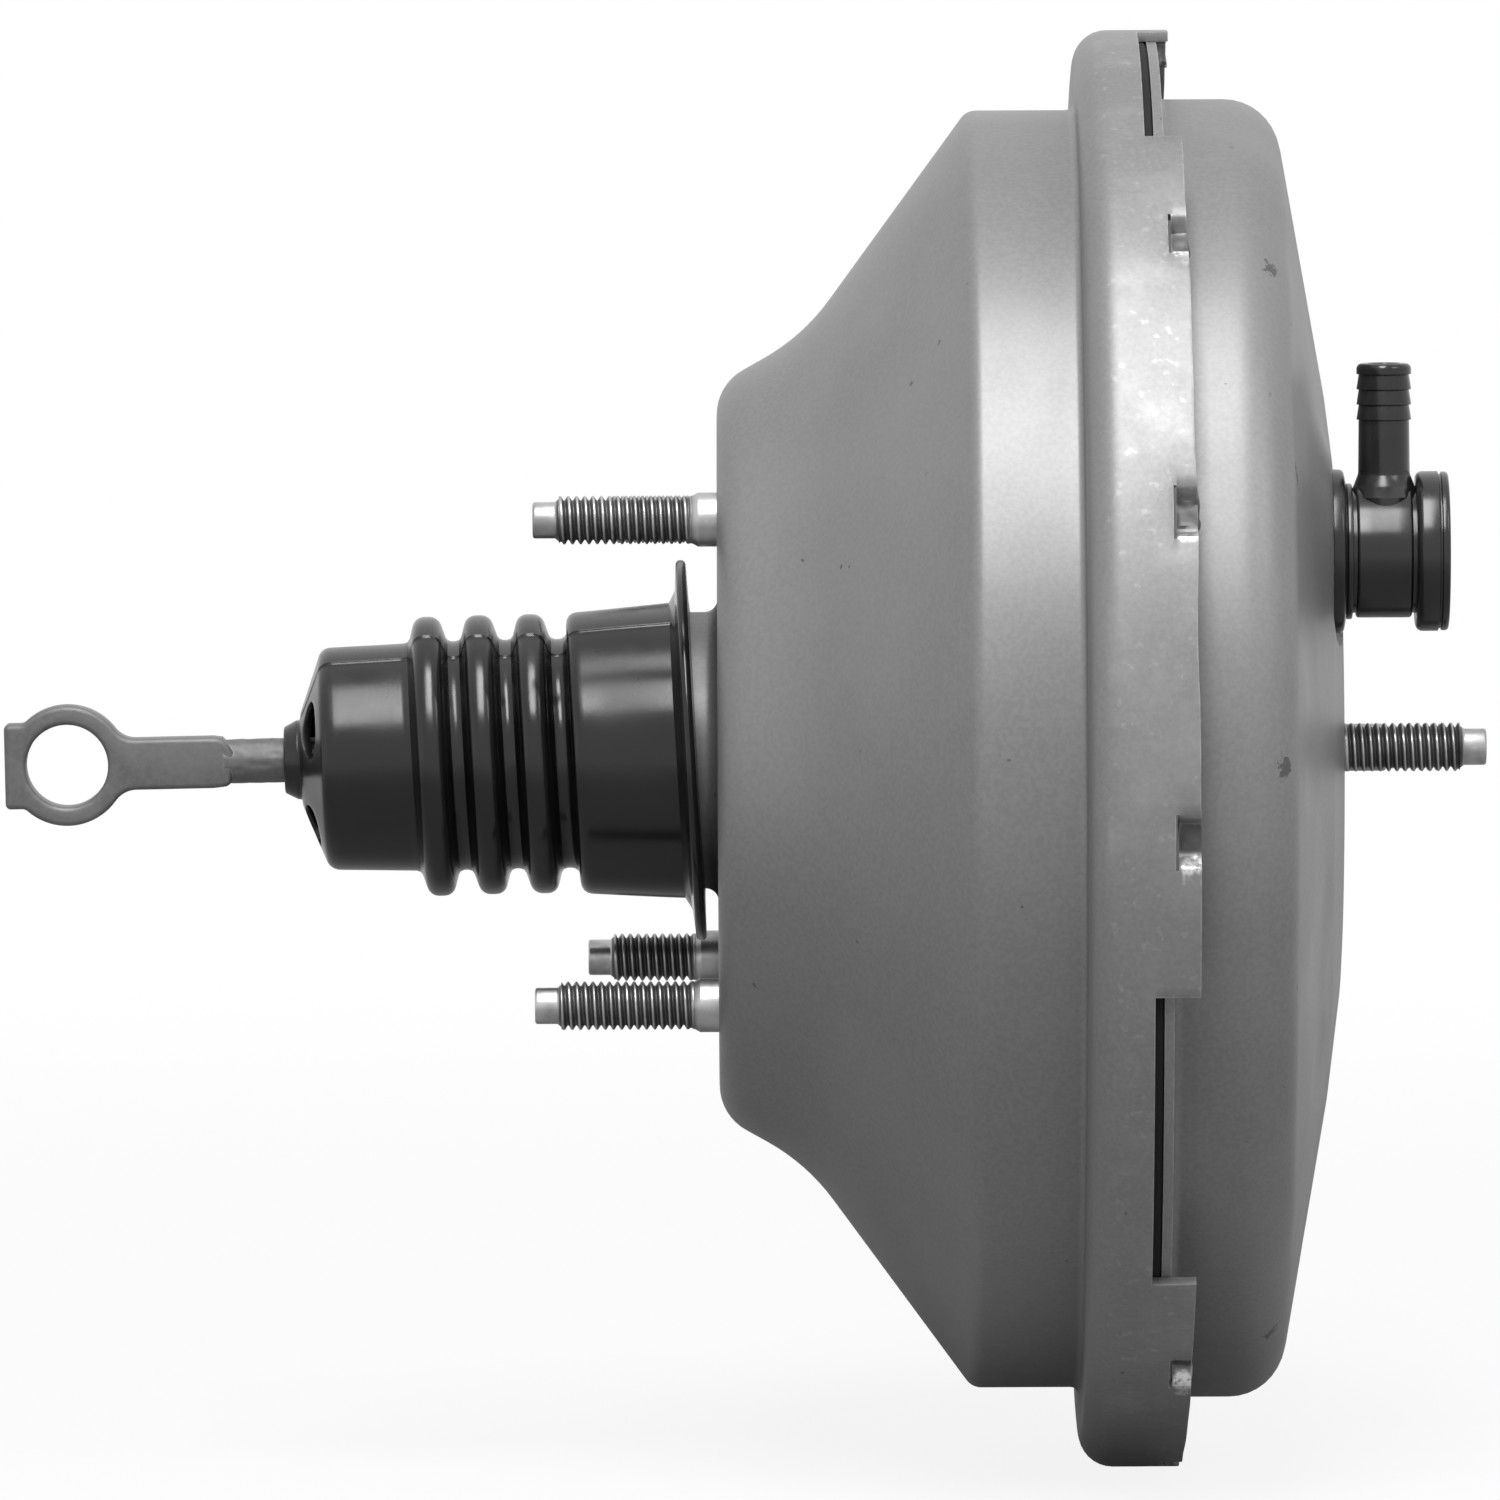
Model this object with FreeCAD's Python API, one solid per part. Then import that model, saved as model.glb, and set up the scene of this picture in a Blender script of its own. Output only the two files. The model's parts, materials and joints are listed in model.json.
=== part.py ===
import FreeCAD, Part
import math
import os
from FreeCAD import Vector

# Frame: +X runs along the booster's axis towards the master cylinder and +Z is up.
# The origin is on the axis, in the plane of the face that meets the firewall.
# All sizes are in millimetres and degrees.

# Clearances
RUNNING_FIT = 0.05
SEAT_GAP = 0.1
SOFT_GAP = 0.2
WORKING_GAP = 0.5

# Pressed shells
SHEET = 1.9
RIM_R = 139.7
DRUM_INSET = 15.5
FACE_EDGE_R = 71.1
FACE_CORNER = 10.0
FLARE_DEPTH = 16.8
FLARE_R = 80.5
FLARE_BLEND = 40.0
CONE_DEPTH = 48.8
CONE_CORNER = 10.0
REAR_DEPTH = 69.5
STEP_FILLET = 2.2
RIM_ROUND = 6.5
NECK_BASE_R = 26.9
NECK_BASE_LENGTH = 8.5
NECK_R = 25.4
NECK_LENGTH = 18.0
NECK_FILLET = 2.6
NECK_LIP_R = 20.4

# Rim that is crimped over the front shell
CLAMP_WIDTH = 12.1
WALL_SHORT_OF_FLANGE = 1.8
LUG_LENGTH = 9.2
STATIONS = 14
STATION_ZERO = 7.3
WINDOWS = (1, 4, 8, 11)
WINDOW_ANGLE = 27.0
CRIMP_LENGTH = 10.6
CRIMP_DEPTH = 3.6
CRIMP_RAMP = 2.9
SLIT = 0.6

# Front shell
FRONT_DRUM_INSET = 13.5
FRONT_DRUM_LENGTH = 22.3
FLANGE_FILLET = 2.0
SHOULDER_ROUND = 10.7
DOME_RISE = 9.9
DOME_KNEE_R = 70.0
PAD_R = 50.0
PAD_RISE = 2.6
PAD_BLEND = 18.0
PILOT_R = 19.5
PILOT_DEPTH = 11.4
PILOT_LIP_R = 13.5
PILOT_ROUND = 2.4

# The front end is turned about the axis by this angle to the firewall pattern
FRONT_CLOCKING = -3.6

# Firewall studs: the near pair is longer and wider apart than the far pair
STUD_R = 4.7
STUD_DOG_R = 3.5
STUD_DOG_LENGTH = 4.3
STUD_CHAMFER = 1.2
STUD_COLLAR_R = 5.2
STUD_COLLAR_LENGTH = 3.6
STUD_HEAD_R = 6.8
STUD_HEAD_THICKNESS = 2.8
FIREWALL_ROW_SPACING = 76.0
NEAR_STUD_SPACING = 93.6
FAR_STUD_SPACING = 86.4
NEAR_STUD_LENGTH = 35.4
FAR_STUD_LENGTH = 25.8
REAR_PLATE_THICKNESS = 2.5
REAR_PLATE_BORE_R = 33.0
REAR_PLATE_R = 64.8

# Master cylinder studs
FRONT_STUD_SPACING = 84.6
FRONT_STUD_LENGTH = 27.4
FRONT_PLATE_THICKNESS = 2.5
FRONT_PLATE_R = 48.0
FRONT_PLATE_BORE_R = 24.5

# Power piston
TAIL_R = 18.0
TAIL_BORE_R = 15.0
TAIL_END = -52.0
HUB_START = 4.6
HUB_R = 28.0
PLATE_SEAT = 20.5
HUB_FLANGE_R = 38.0
HUB_FLANGE_THICKNESS = 4.5
NOSE_R = 23.0
NOSE_LENGTH = 14.0
REACTION_BORE_R = 12.5
REACTION_BORE_START = 24.0
VACUUM_SEAT_X = -4.5
VACUUM_SEAT_R = 10.2
VACUUM_SEAT_WIDTH = 1.8
VACUUM_GROOVE_END = 5.4
VACUUM_CHAMBER_R = 20.4
VACUUM_CHAMBER_END = 8.4
VACUUM_HOLE_R = 2.6
VACUUM_HOLES = 4
VACUUM_HOLE_CIRCLE_R = 17.4

# Diaphragm and its plate
PLATE_SHEET = 1.6
PLATE_FLAT_R = 62.0
PLATE_RIM_INSET = 16.2
PLATE_RIM_AHEAD = 5.5
PLATE_CURL = 4.0
PLATE_BEND = 12.0
RUBBER = 2.0
BEAD_LENGTH = 6.8
BEAD_WIDTH = 4.6

# Neck seal, its bearing and its retainer
BEARING_LENGTH = 6.0
SEAL_LENGTH = 7.6
SEAL_LIP_LENGTH = 2.4
SEAL_LIP_WALL = 2.2
RETAINER_THICKNESS = 1.2

# Valve plunger and its stop key
BALL_R = 5.0
BALL_X = 2.0
PLUNGER_REAR = -5.0
PLUNGER_LAND_R = 8.9
PLUNGER_LAND_LENGTH = 2.6
PLUNGER_R = 8.0
PLUNGER_MOUTH_R = 4.3
PLUNGER_TRAVEL = 1.8
WAIST_R = 5.2
WAIST_START = 8.4
KEY_THICKNESS = 2.0
KEY_WIDTH = 16.0
KEY_TOP = 33.0
KEY_TAIL = 4.0
PLUNGER_NOSE_R = 6.2

# Input rod: lengths are measured back from the centre of its ball
ROD_DROOP = 1.03
ROD_R = 4.5
ROD_NECK_R = 3.4
ROD_NECK_LENGTH = 14.0
ROD_ROUND_LENGTH = 97.0
ROD_TO_EYE = 128.7
BAR_HEIGHT = 9.9
BAR_THICKNESS = 7.4
EYE_R = 11.7
EYE_BORE_R = 8.0
EYE_THICKNESS = 8.2
EYE_END = 12.1
EYE_END_HEIGHT = 16.5
EYE_END_ROUND = 1.0
EYE_BLEND = 5.0
EYE_END_BLEND = 1.6

# Control valve, its springs and the air intake inside the tail
POPPET_FACE_R = 13.6
POPPET_BORE_R = 6.9
POPPET_FACE_THICKNESS = 2.6
POPPET_SLEEVE_R = 8.8
POPPET_SLEEVE_WALL = 1.4
POPPET_LENGTH = 17.0
POPPET_FLANGE_THICKNESS = 2.0
POPPET_WIRE = 0.9
POPPET_COILS = 3
POPPET_RETAINER_THICKNESS = 2.0
POPPET_RETAINER_BORE_R = 7.4
POPPET_RETAINER_SLEEVE = 6.0
ROD_SPRING_LENGTH = 9.0
ROD_SPRING_R = 9.6
ROD_SPRING_WIRE = 1.3
ROD_SPRING_COILS = 3
SPRING_SEAT_THICKNESS = 1.0
SPRING_SEAT_R = 12.0
SILENCER_THICKNESS = 5.0
FILTER_BORE_R = 6.6
FILTER_RETAINER_THICKNESS = 1.2
FILTER_RETAINER_BORE_R = 9.0
FILTER_RETAINER_INSET = 0.8

# Reaction disc and output rod
REACTION_DISC_THICKNESS = 6.0
OUTPUT_HEAD_THICKNESS = 4.0
OUTPUT_ROD_R = 6.0
OUTPUT_ROD_LENGTH = 100.0
OUTPUT_ROD_FILLET = 3.0
OUTPUT_SOCKET_R = 3.0
OUTPUT_SOCKET_DEPTH = 16.0
SCREW_SHANK_LENGTH = 14.0
SCREW_HEAD_ACROSS_FLATS = 8.0
SCREW_HEAD_LENGTH = 7.0
SCREW_TIP_R = 3.2
SCREW_TIP_LENGTH = 5.5
SCREW_STAND_OFF = 0.6
OUTPUT_RETAINER_THICKNESS = 1.2
OUTPUT_RETAINER_BORE_R = 9.5
FRONT_SEAL_THICKNESS = 5.0

# Return spring
RETURN_SPRING_R = 28.0
RETURN_SPRING_WIRE_R = 1.9
RETURN_SPRING_COILS = 5

# Dust boot
BOOT_WALL = 1.6
BOOT_LIP_X = -84.4
BOOT_LIP_OUTER_R = 6.4
BOOT_COLLAR_X = -81.9
BOOT_COLLAR_R = 7.7
BOOT_SHOULDER_X = -76.3
BOOT_SHOULDER_R = 21.6
BOOT_SHOULDER_ROUND = 2.6
BOOT_NECK_R = 22.2
FOLDS = 3
FOLD_FIRST_X = -58.3
FOLD_PITCH = 10.05
FOLD_CREST_WIDTH = 6.1
FOLD_CREST_R = 27.05
FOLD_VALLEY_R = 22.3
FOLD_CREST_ROUND = 3.0
FOLD_VALLEY_ROUND = 1.6
BOOT_CUFF_R = 27.3
BOOT_CUFF_ROUND = 2.2
BOOT_CUFF_END_R = 28.95
BOOT_FLANGE_X = -6.9
BOOT_FLANGE_WIDTH = 2.8
BOOT_FLANGE_EDGE = 1.3
BOOT_FLANGE_R = 37.0
BOOT_VENTS = 4
BOOT_VENT_ANGLE = 50.0
BOOT_VENT_INNER_R = 8.6
BOOT_VENT_OUTER_R = 16.0

# Check valve: its place is given from the booster's axis, before the clocking
VALVE_SIDE = -55.0
VALVE_RISE = 37.5
VALVE_SEAT_SINK = 2.7
VALVE_SEAT_R = 16.2
VALVE_BOSS_RISE = 6.0
VALVE_BOSS_SPREAD = 14.0
GROMMET_FLANGE_R = 15.8
GROMMET_FLANGE_THICKNESS = 2.8
GROMMET_NECK_R = 11.2
GROMMET_INNER_FLANGE_R = 13.2
GROMMET_INNER_THICKNESS = 3.0
VALVE_STEM_R = 8.4
VALVE_STEM_LENGTH = 12.0
VALVE_STEM_BORE_R = 5.0
VALVE_RING_R = 13.0
VALVE_RING_THICKNESS = 1.2
VALVE_BARREL_R = 12.7
VALVE_BARREL_LENGTH = 12.1
VALVE_GROOVE_WIDTH = 0.7
VALVE_GROOVE_DEPTH = 0.9
VALVE_WALL = 2.2
VALVE_CAP_R = 15.3
VALVE_CAP_LENGTH = 6.3
VALVE_CAP_LIP = 1.4
VALVE_CAP_GROOVE = 0.5
VALVE_CAP_ROUND = 1.0
NIPPLE_SETBACK = 5.9
NIPPLE_TOP = 36.0
NIPPLE_NECK_R = 4.85
NIPPLE_BARB_R = 5.25
NIPPLE_BORE_R = 3.1
NIPPLE_TOP_ROUND = 1.0
NIPPLE_BARBS = 4
NIPPLE_BARB_PITCH = 2.9
NIPPLE_TOP_BARB = 2.2
NIPPLE_FOOT_R = 5.6
VALVE_SEAT_HEIGHT = 1.2
CHECK_POPPET_R = 7.6
CHECK_POPPET_THICKNESS = 1.8
CHECK_POPPET_STEM_R = 1.5
CHECK_POPPET_STEM_LENGTH = 8.0
CHECK_GUIDE_R = 3.2
CHECK_GUIDE_DEPTH = 4.4
CHECK_SPRING_R = 4.6
CHECK_SPRING_WIRE = 1.0
CHECK_SPRING_COILS = 3

# Places that follow from the sizes above
RIM_INNER_R = RIM_R - SHEET
DRUM_R = RIM_R - DRUM_INSET
FRONT_DRUM_R = RIM_R - FRONT_DRUM_INSET
PLATE_RIM_R = DRUM_R - PLATE_RIM_INSET
FLANGE_X = REAR_DEPTH + SHEET + CLAMP_WIDTH
FLANGE_FRONT_X = FLANGE_X + SHEET
WALL_END_X = FLANGE_X - WALL_SHORT_OF_FLANGE
LUG_END_X = WALL_END_X + LUG_LENGTH
SLIT_X = FLANGE_FRONT_X + SEAT_GAP
SHOULDER_X = FLANGE_FRONT_X + FRONT_DRUM_LENGTH
DOME_KNEE_X = SHOULDER_X + DOME_RISE
PAD_X = DOME_KNEE_X + PAD_RISE
PILOT_END_X = PAD_X - PILOT_DEPTH
FRONT_PLATE_X = PAD_X - SHEET - FRONT_PLATE_THICKNESS
HUB_FLANGE_X = PLATE_SEAT + PLATE_SHEET + SEAT_GAP
HUB_FLANGE_FRONT = HUB_FLANGE_X + HUB_FLANGE_THICKNESS
NOSE_END = HUB_FLANGE_FRONT + NOSE_LENGTH
PLATE_RIM_X = CONE_DEPTH + PLATE_RIM_AHEAD
PLATE_SLOPE = (PLATE_RIM_R - PLATE_FLAT_R) / (PLATE_RIM_X - PLATE_SEAT)
KEY_X = WAIST_START + PLUNGER_TRAVEL + SEAT_GAP
WAIST_END = KEY_X + KEY_THICKNESS + RUNNING_FIT
POPPET_FACE_X = PLUNGER_REAR - RUNNING_FIT
POPPET_REAR = POPPET_FACE_X - POPPET_LENGTH
RETAINER_X = POPPET_REAR - POPPET_RETAINER_THICKNESS
SPRING_SEAT_X = RETAINER_X - ROD_SPRING_LENGTH - SPRING_SEAT_THICKNESS
FILTER_RETAINER_X = TAIL_END + FILTER_RETAINER_INSET
FILTER_START = FILTER_RETAINER_X + FILTER_RETAINER_THICKNESS
SILENCER_END = SPRING_SEAT_X - 2.0 * SOFT_GAP
SILENCER_START = SILENCER_END - SILENCER_THICKNESS
OUTPUT_HEAD_X = REACTION_BORE_START + REACTION_DISC_THICKNESS
OUTPUT_HEAD_END = OUTPUT_HEAD_X + OUTPUT_HEAD_THICKNESS
OUTPUT_END = OUTPUT_HEAD_X + OUTPUT_ROD_LENGTH
BOOT_LIP_DROP = (BALL_X - BOOT_LIP_X) * math.sin(math.radians(ROD_DROOP))
BOOT_TILT = math.degrees(math.asin(BOOT_LIP_DROP / (BOOT_FLANGE_X - BOOT_LIP_X)))
VALVE_SEAT_X = PAD_X - VALVE_SEAT_SINK
VALVE_RING_X = VALVE_SEAT_X + GROMMET_FLANGE_THICKNESS
VALVE_BARREL_X = VALVE_RING_X + VALVE_RING_THICKNESS
VALVE_CAP_X = VALVE_BARREL_X + VALVE_BARREL_LENGTH
VALVE_FLOOR_X = VALVE_BARREL_X + VALVE_WALL
CHECK_POPPET_X = VALVE_FLOOR_X + VALVE_SEAT_HEIGHT + RUNNING_FIT
NIPPLE_X = VALVE_CAP_X - NIPPLE_SETBACK

X_AXIS = Vector(1, 0, 0)
Y_AXIS = Vector(0, 1, 0)
ORIGIN = Vector(0, 0, 0)


# Profiles are lists of (x, r) or (x, r, corner radius) in the plane through the axis
def corner(before, vertex, after, radius):
    """Start, middle and end of the arc that rounds one vertex."""
    back = (before - vertex).normalize()
    ahead = (after - vertex).normalize()
    half = back.getAngle(ahead) / 2.0
    reach = radius / math.tan(half)
    bisector = (back + ahead).normalize()
    centre = vertex + bisector * (radius / math.sin(half))
    middle = centre - bisector * radius
    return vertex + back * reach, middle, vertex + ahead * reach


def outline(points):
    """Closed wire through the vertices, each rounded by its own radius."""
    places = [Vector(p[0], 0, p[1]) for p in points]
    radii = [p[2] if len(p) > 2 else 0.0 for p in points]
    count = len(points)
    ends = []
    edges = []
    for i in range(count):
        if radii[i] > 0:
            ends.append(corner(places[i - 1], places[i], places[(i + 1) % count], radii[i]))
        else:
            ends.append((places[i], places[i], places[i]))
    for i in range(count):
        start, middle, end = ends[i]
        following = ends[(i + 1) % count][0]
        if radii[i] > 0:
            edges.append(Part.Arc(start, middle, end).toShape())
        if end.distanceToPoint(following) > 1e-6:
            edges.append(Part.makeLine(end, following))
    return Part.Wire(edges)


def turned(points):
    """Solid of revolution about the booster's axis."""
    return Part.Face(outline(points)).revolve(ORIGIN, X_AXIS, 360)


def offset(points, distance):
    """The open profile moved sideways; a positive distance lies to its right."""
    places = [Vector(p[0], p[1], 0) for p in points]
    radii = [p[2] if len(p) > 2 else 0.0 for p in points]
    sides = []
    for a, b in zip(places, places[1:]):
        run = (b - a).normalize()
        sides.append((Vector(run.y, -run.x, 0), run))
    moved = []
    for i, place in enumerate(places):
        if i == 0:
            spot = place + sides[0][0] * distance
            moved.append((spot.x, spot.y))
            continue
        if i == len(places) - 1:
            spot = place + sides[-1][0] * distance
            moved.append((spot.x, spot.y))
            continue
        (n1, t1), (n2, t2) = sides[i - 1], sides[i]
        spot = place + (n1 + n2) * (distance / (1.0 + n1.dot(n2)))
        turn = t1.x * t2.y - t1.y * t2.x
        radius = 0.0
        if radii[i] > 0:
            radius = radii[i] + (distance if turn > 0 else -distance)
        moved.append((spot.x, spot.y, radius))
    return moved


def pressed(points, thickness):
    """Sheet part of revolution: the drawn side and the side one thickness to its right."""
    return turned(points + offset(points, thickness)[::-1])


def ring(x0, x1, inner, outer):
    """Plain ring or disc about the axis."""
    return turned([(x0, inner), (x0, outer), (x1, outer), (x1, inner)])


def rod(x0, x1, radius, y=0.0, z=0.0):
    """Round bar along X at a place off the axis."""
    return Part.makeCylinder(radius, x1 - x0, Vector(x0, y, z), X_AXIS)


def block(x0, x1, y0, y1, z0, z1):
    """Box between two corners."""
    return Part.makeBox(x1 - x0, y1 - y0, z1 - z0, Vector(x0, y0, z0))


def spun(shape, angle, base=ORIGIN, axis=X_AXIS):
    """A copy turned about an axis."""
    copy = shape.copy()
    copy.rotate(base, axis, angle)
    return copy


def coil(x0, x1, radius, wire, turns):
    """Round-wire spring with its outermost turns inside the two end planes."""
    rise = x1 - x0 - 2.0 * wire
    path = Part.makeHelix(rise / turns, rise, radius)
    section = Part.Wire(Part.makeCircle(wire, Vector(radius, 0, 0), Y_AXIS))
    spring = Part.Wire(path).makePipeShell([section], True, True)
    spring.rotate(ORIGIN, Y_AXIS, 90)
    spring.translate(Vector(x0 + wire, 0, 0))
    return spring


def sector(x0, x1, inner, outer, middle, width):
    """Part of a ring, centred on an angle that runs down from the near side."""
    piece = Part.Face(outline([(x0, inner), (x0, outer), (x1, outer), (x1, inner)]))
    swept = piece.revolve(ORIGIN, X_AXIS, width)
    return spun(swept, station_turn(middle) - width / 2.0)


def station_turn(angle):
    """Rotation about the axis that takes the top to an angle below the near side."""
    return 90.0 + angle + FRONT_CLOCKING


def stud(length, through, collar):
    """Stud pointing along +X from the plane x = 0, with its head behind the sheet."""
    profile = [
        (-through - STUD_HEAD_THICKNESS, 0),
        (-through - STUD_HEAD_THICKNESS, STUD_HEAD_R),
        (-through, STUD_HEAD_R),
        (-through, STUD_COLLAR_R),
        (collar, STUD_COLLAR_R),
        (collar + STUD_CHAMFER, STUD_R),
        (length - STUD_DOG_LENGTH - STUD_CHAMFER, STUD_R),
        (length - STUD_DOG_LENGTH, STUD_DOG_R),
        (length, STUD_DOG_R, STUD_CHAMFER / 3.0),
        (length, 0),
    ]
    return turned(profile)


def firewall_places():
    """Side, height and length of each firewall stud."""
    half = FIREWALL_ROW_SPACING / 2.0
    near = NEAR_STUD_SPACING / 2.0
    far = FAR_STUD_SPACING / 2.0
    return (
        (-half, near, NEAR_STUD_LENGTH),
        (-half, -near, NEAR_STUD_LENGTH),
        (half, far, FAR_STUD_LENGTH),
        (half, -far, FAR_STUD_LENGTH),
    )


def front_stud_places():
    """Side and height of each master cylinder stud."""
    turn = math.radians(FRONT_CLOCKING)
    half = FRONT_STUD_SPACING / 2.0
    side = half * math.cos(turn)
    rise = half * math.sin(turn)
    return ((-side, -rise), (side, rise))


# Rear shell
def rear_profile():
    return [
        (-NECK_LENGTH, NECK_LIP_R),
        (-NECK_LENGTH, NECK_R, NECK_FILLET),
        (-NECK_BASE_LENGTH - SHEET, NECK_R, SHEET),
        (-NECK_BASE_LENGTH, NECK_BASE_R, SHEET),
        (0, NECK_BASE_R, NECK_FILLET),
        (0, FACE_EDGE_R, FACE_CORNER),
        (FLARE_DEPTH, FLARE_R, FLARE_BLEND),
        (CONE_DEPTH, DRUM_R, CONE_CORNER),
        (REAR_DEPTH, DRUM_R, STEP_FILLET),
        (REAR_DEPTH, RIM_R, RIM_ROUND),
        (LUG_END_X, RIM_R),
    ]


def crimp_tab():
    """Strip of the rim wall pushed inwards behind the flange, at the top of the rim."""
    half = CRIMP_LENGTH / 2.0
    top = RIM_R * math.cos(half / RIM_R)
    floor = top - CRIMP_DEPTH
    flat = half - CRIMP_RAMP
    root = half + SHEET / 2.0
    points = [
        (-root, top),
        (-half, top),
        (-flat, floor),
        (flat, floor),
        (half, top),
        (root, top),
        (root, top - SHEET),
        (half - SHEET / 2.0, top - SHEET),
        (flat - SHEET / 2.0, floor - SHEET),
        (SHEET / 2.0 - flat, floor - SHEET),
        (SHEET / 2.0 - half, top - SHEET),
        (-root, top - SHEET),
    ]
    face = Part.Face(Part.makePolygon([Vector(SLIT_X + SLIT, y, z) for y, z in points + points[:1]]))
    return face.extrude(Vector(LUG_END_X - SLIT_X - SLIT, 0, 0))


def rear_shell():
    shell = pressed(rear_profile(), SHEET)
    step = 360.0 / STATIONS
    cuts = []
    tabs = []
    below = RIM_INNER_R - SHEET
    above = RIM_R + SHEET
    for station in range(STATIONS):
        angle = STATION_ZERO + station * step
        if station in WINDOWS:
            cuts.append(sector(WALL_END_X, LUG_END_X + SHEET, below, above, angle, WINDOW_ANGLE))
            continue
        patch = block(SLIT_X, LUG_END_X + SHEET, -CRIMP_LENGTH / 2.0, CRIMP_LENGTH / 2.0, below, above)
        cuts.append(spun(patch, station_turn(angle)))
        tabs.append(spun(crimp_tab(), station_turn(angle)))
    for y, z, length in firewall_places():
        cuts.append(rod(-SHEET, 2.0 * SHEET, STUD_COLLAR_R + RUNNING_FIT, y, z))
    return shell.cut(cuts).fuse(tabs).removeSplitter()


def rear_stud_plate():
    plate = ring(SHEET, SHEET + REAR_PLATE_THICKNESS, REAR_PLATE_BORE_R, REAR_PLATE_R)
    reach = SHEET + REAR_PLATE_THICKNESS
    holes = [rod(0, 2.0 * reach, STUD_COLLAR_R + RUNNING_FIT, y, z) for y, z, length in firewall_places()]
    return plate.cut(holes)


def firewall_studs():
    studs = []
    for y, z, length in firewall_places():
        piece = spun(stud(length, SHEET + REAR_PLATE_THICKNESS, STUD_COLLAR_LENGTH), 180, ORIGIN, Y_AXIS)
        piece.translate(Vector(0, y, z))
        studs.append(piece)
    return Part.makeCompound(studs)


# Front shell
def front_profile():
    return [
        (FLANGE_FRONT_X, RIM_INNER_R - SEAT_GAP),
        (FLANGE_FRONT_X, FRONT_DRUM_R, FLANGE_FILLET),
        (SHOULDER_X, FRONT_DRUM_R, SHOULDER_ROUND),
        (DOME_KNEE_X, DOME_KNEE_R, PAD_BLEND),
        (PAD_X, PAD_R, PAD_BLEND),
        (PAD_X, PILOT_R, PILOT_ROUND),
        (PILOT_END_X, PILOT_R, PILOT_ROUND),
        (PILOT_END_X, PILOT_LIP_R),
    ]


def at_valve(shape):
    """Move a piece built on the axis to the check valve's place."""
    copy = shape.copy()
    copy.translate(Vector(0, VALVE_SIDE, VALVE_RISE))
    return spun(copy, FRONT_CLOCKING)


def valve_boss(depth):
    """Raised cone under the check valve's seat, or its hollow one sheet lower."""
    top = VALVE_SEAT_R + SHEET
    return at_valve(turned([
        (VALVE_SEAT_X - depth - VALVE_BOSS_RISE, 0),
        (VALVE_SEAT_X - depth - VALVE_BOSS_RISE, top + VALVE_BOSS_SPREAD),
        (VALVE_SEAT_X - depth, top),
        (VALVE_SEAT_X - depth, 0),
    ]))


def front_shell():
    shell = pressed(front_profile(), SHEET)
    hull = turned([(FLANGE_X, 0)] + [(FLANGE_X, RIM_INNER_R)] + front_profile()[:5] + [(PAD_X, 0)])
    seat_wall = at_valve(ring(VALVE_SEAT_X - SHEET, PAD_X + SHEET, VALVE_SEAT_R, VALVE_SEAT_R + SHEET))
    seat_floor = at_valve(ring(VALVE_SEAT_X - SHEET, VALVE_SEAT_X, GROMMET_NECK_R, VALVE_SEAT_R + SHEET))
    recess = at_valve(rod(VALVE_SEAT_X - SHEET, PAD_X + SHEET, VALVE_SEAT_R))
    shell = shell.fuse(valve_boss(0.0).cut(hull)).cut([valve_boss(SHEET), recess])
    shell = shell.fuse([seat_wall.common(hull), seat_floor])
    under = at_valve(rod(FLANGE_X, VALVE_SEAT_X - SHEET, GROMMET_INNER_FLANGE_R + SOFT_GAP))
    holes = [under, at_valve(rod(FLANGE_X, PAD_X + SHEET, GROMMET_NECK_R))]
    for y, z in front_stud_places():
        holes.append(rod(FRONT_PLATE_X, PAD_X + SHEET, STUD_COLLAR_R + RUNNING_FIT, y, z))
    return shell.cut(holes).removeSplitter()


def front_stud_plate():
    plate = ring(FRONT_PLATE_X, FRONT_PLATE_X + FRONT_PLATE_THICKNESS, FRONT_PLATE_BORE_R, FRONT_PLATE_R)
    holes = [at_valve(rod(FRONT_PLATE_X - SHEET, PAD_X, VALVE_SEAT_R + SHEET + SEAT_GAP))]
    for y, z in front_stud_places():
        holes.append(rod(FRONT_PLATE_X - SHEET, PAD_X, STUD_COLLAR_R + RUNNING_FIT, y, z))
    return plate.cut(holes)


def master_cylinder_studs():
    studs = []
    for y, z in front_stud_places():
        piece = stud(FRONT_STUD_LENGTH, SHEET + FRONT_PLATE_THICKNESS, -STUD_CHAMFER)
        piece.translate(Vector(PAD_X, y, z))
        studs.append(piece)
    return Part.makeCompound(studs)


def front_seal():
    inner = OUTPUT_ROD_R + RUNNING_FIT
    end = PILOT_END_X + FRONT_SEAL_THICKNESS
    return turned([
        (PILOT_END_X, inner),
        (PILOT_END_X, PILOT_R - RUNNING_FIT, PILOT_ROUND),
        (end, PILOT_R - RUNNING_FIT),
        (end, inner),
    ])


# Neck of the rear shell
def rear_bearing():
    start = SHEET - NECK_LENGTH
    end = start + BEARING_LENGTH
    inner = TAIL_R + RUNNING_FIT
    outer = NECK_R - SHEET - RUNNING_FIT
    corner = NECK_FILLET - SHEET + WORKING_GAP
    return turned([(start, inner), (start, outer, corner), (end, outer), (end, inner)])


def rear_seal():
    start = SHEET - NECK_LENGTH + BEARING_LENGTH
    end = start + SEAL_LENGTH
    outer = NECK_R - SHEET - RUNNING_FIT
    inner = TAIL_R + RUNNING_FIT
    mid = end - SEAL_LIP_LENGTH
    return turned([
        (start, inner),
        (start, outer),
        (end, outer),
        (end, outer - SEAL_LIP_WALL),
        (mid, outer - SEAL_LIP_WALL),
        (mid, inner),
    ])


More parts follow.
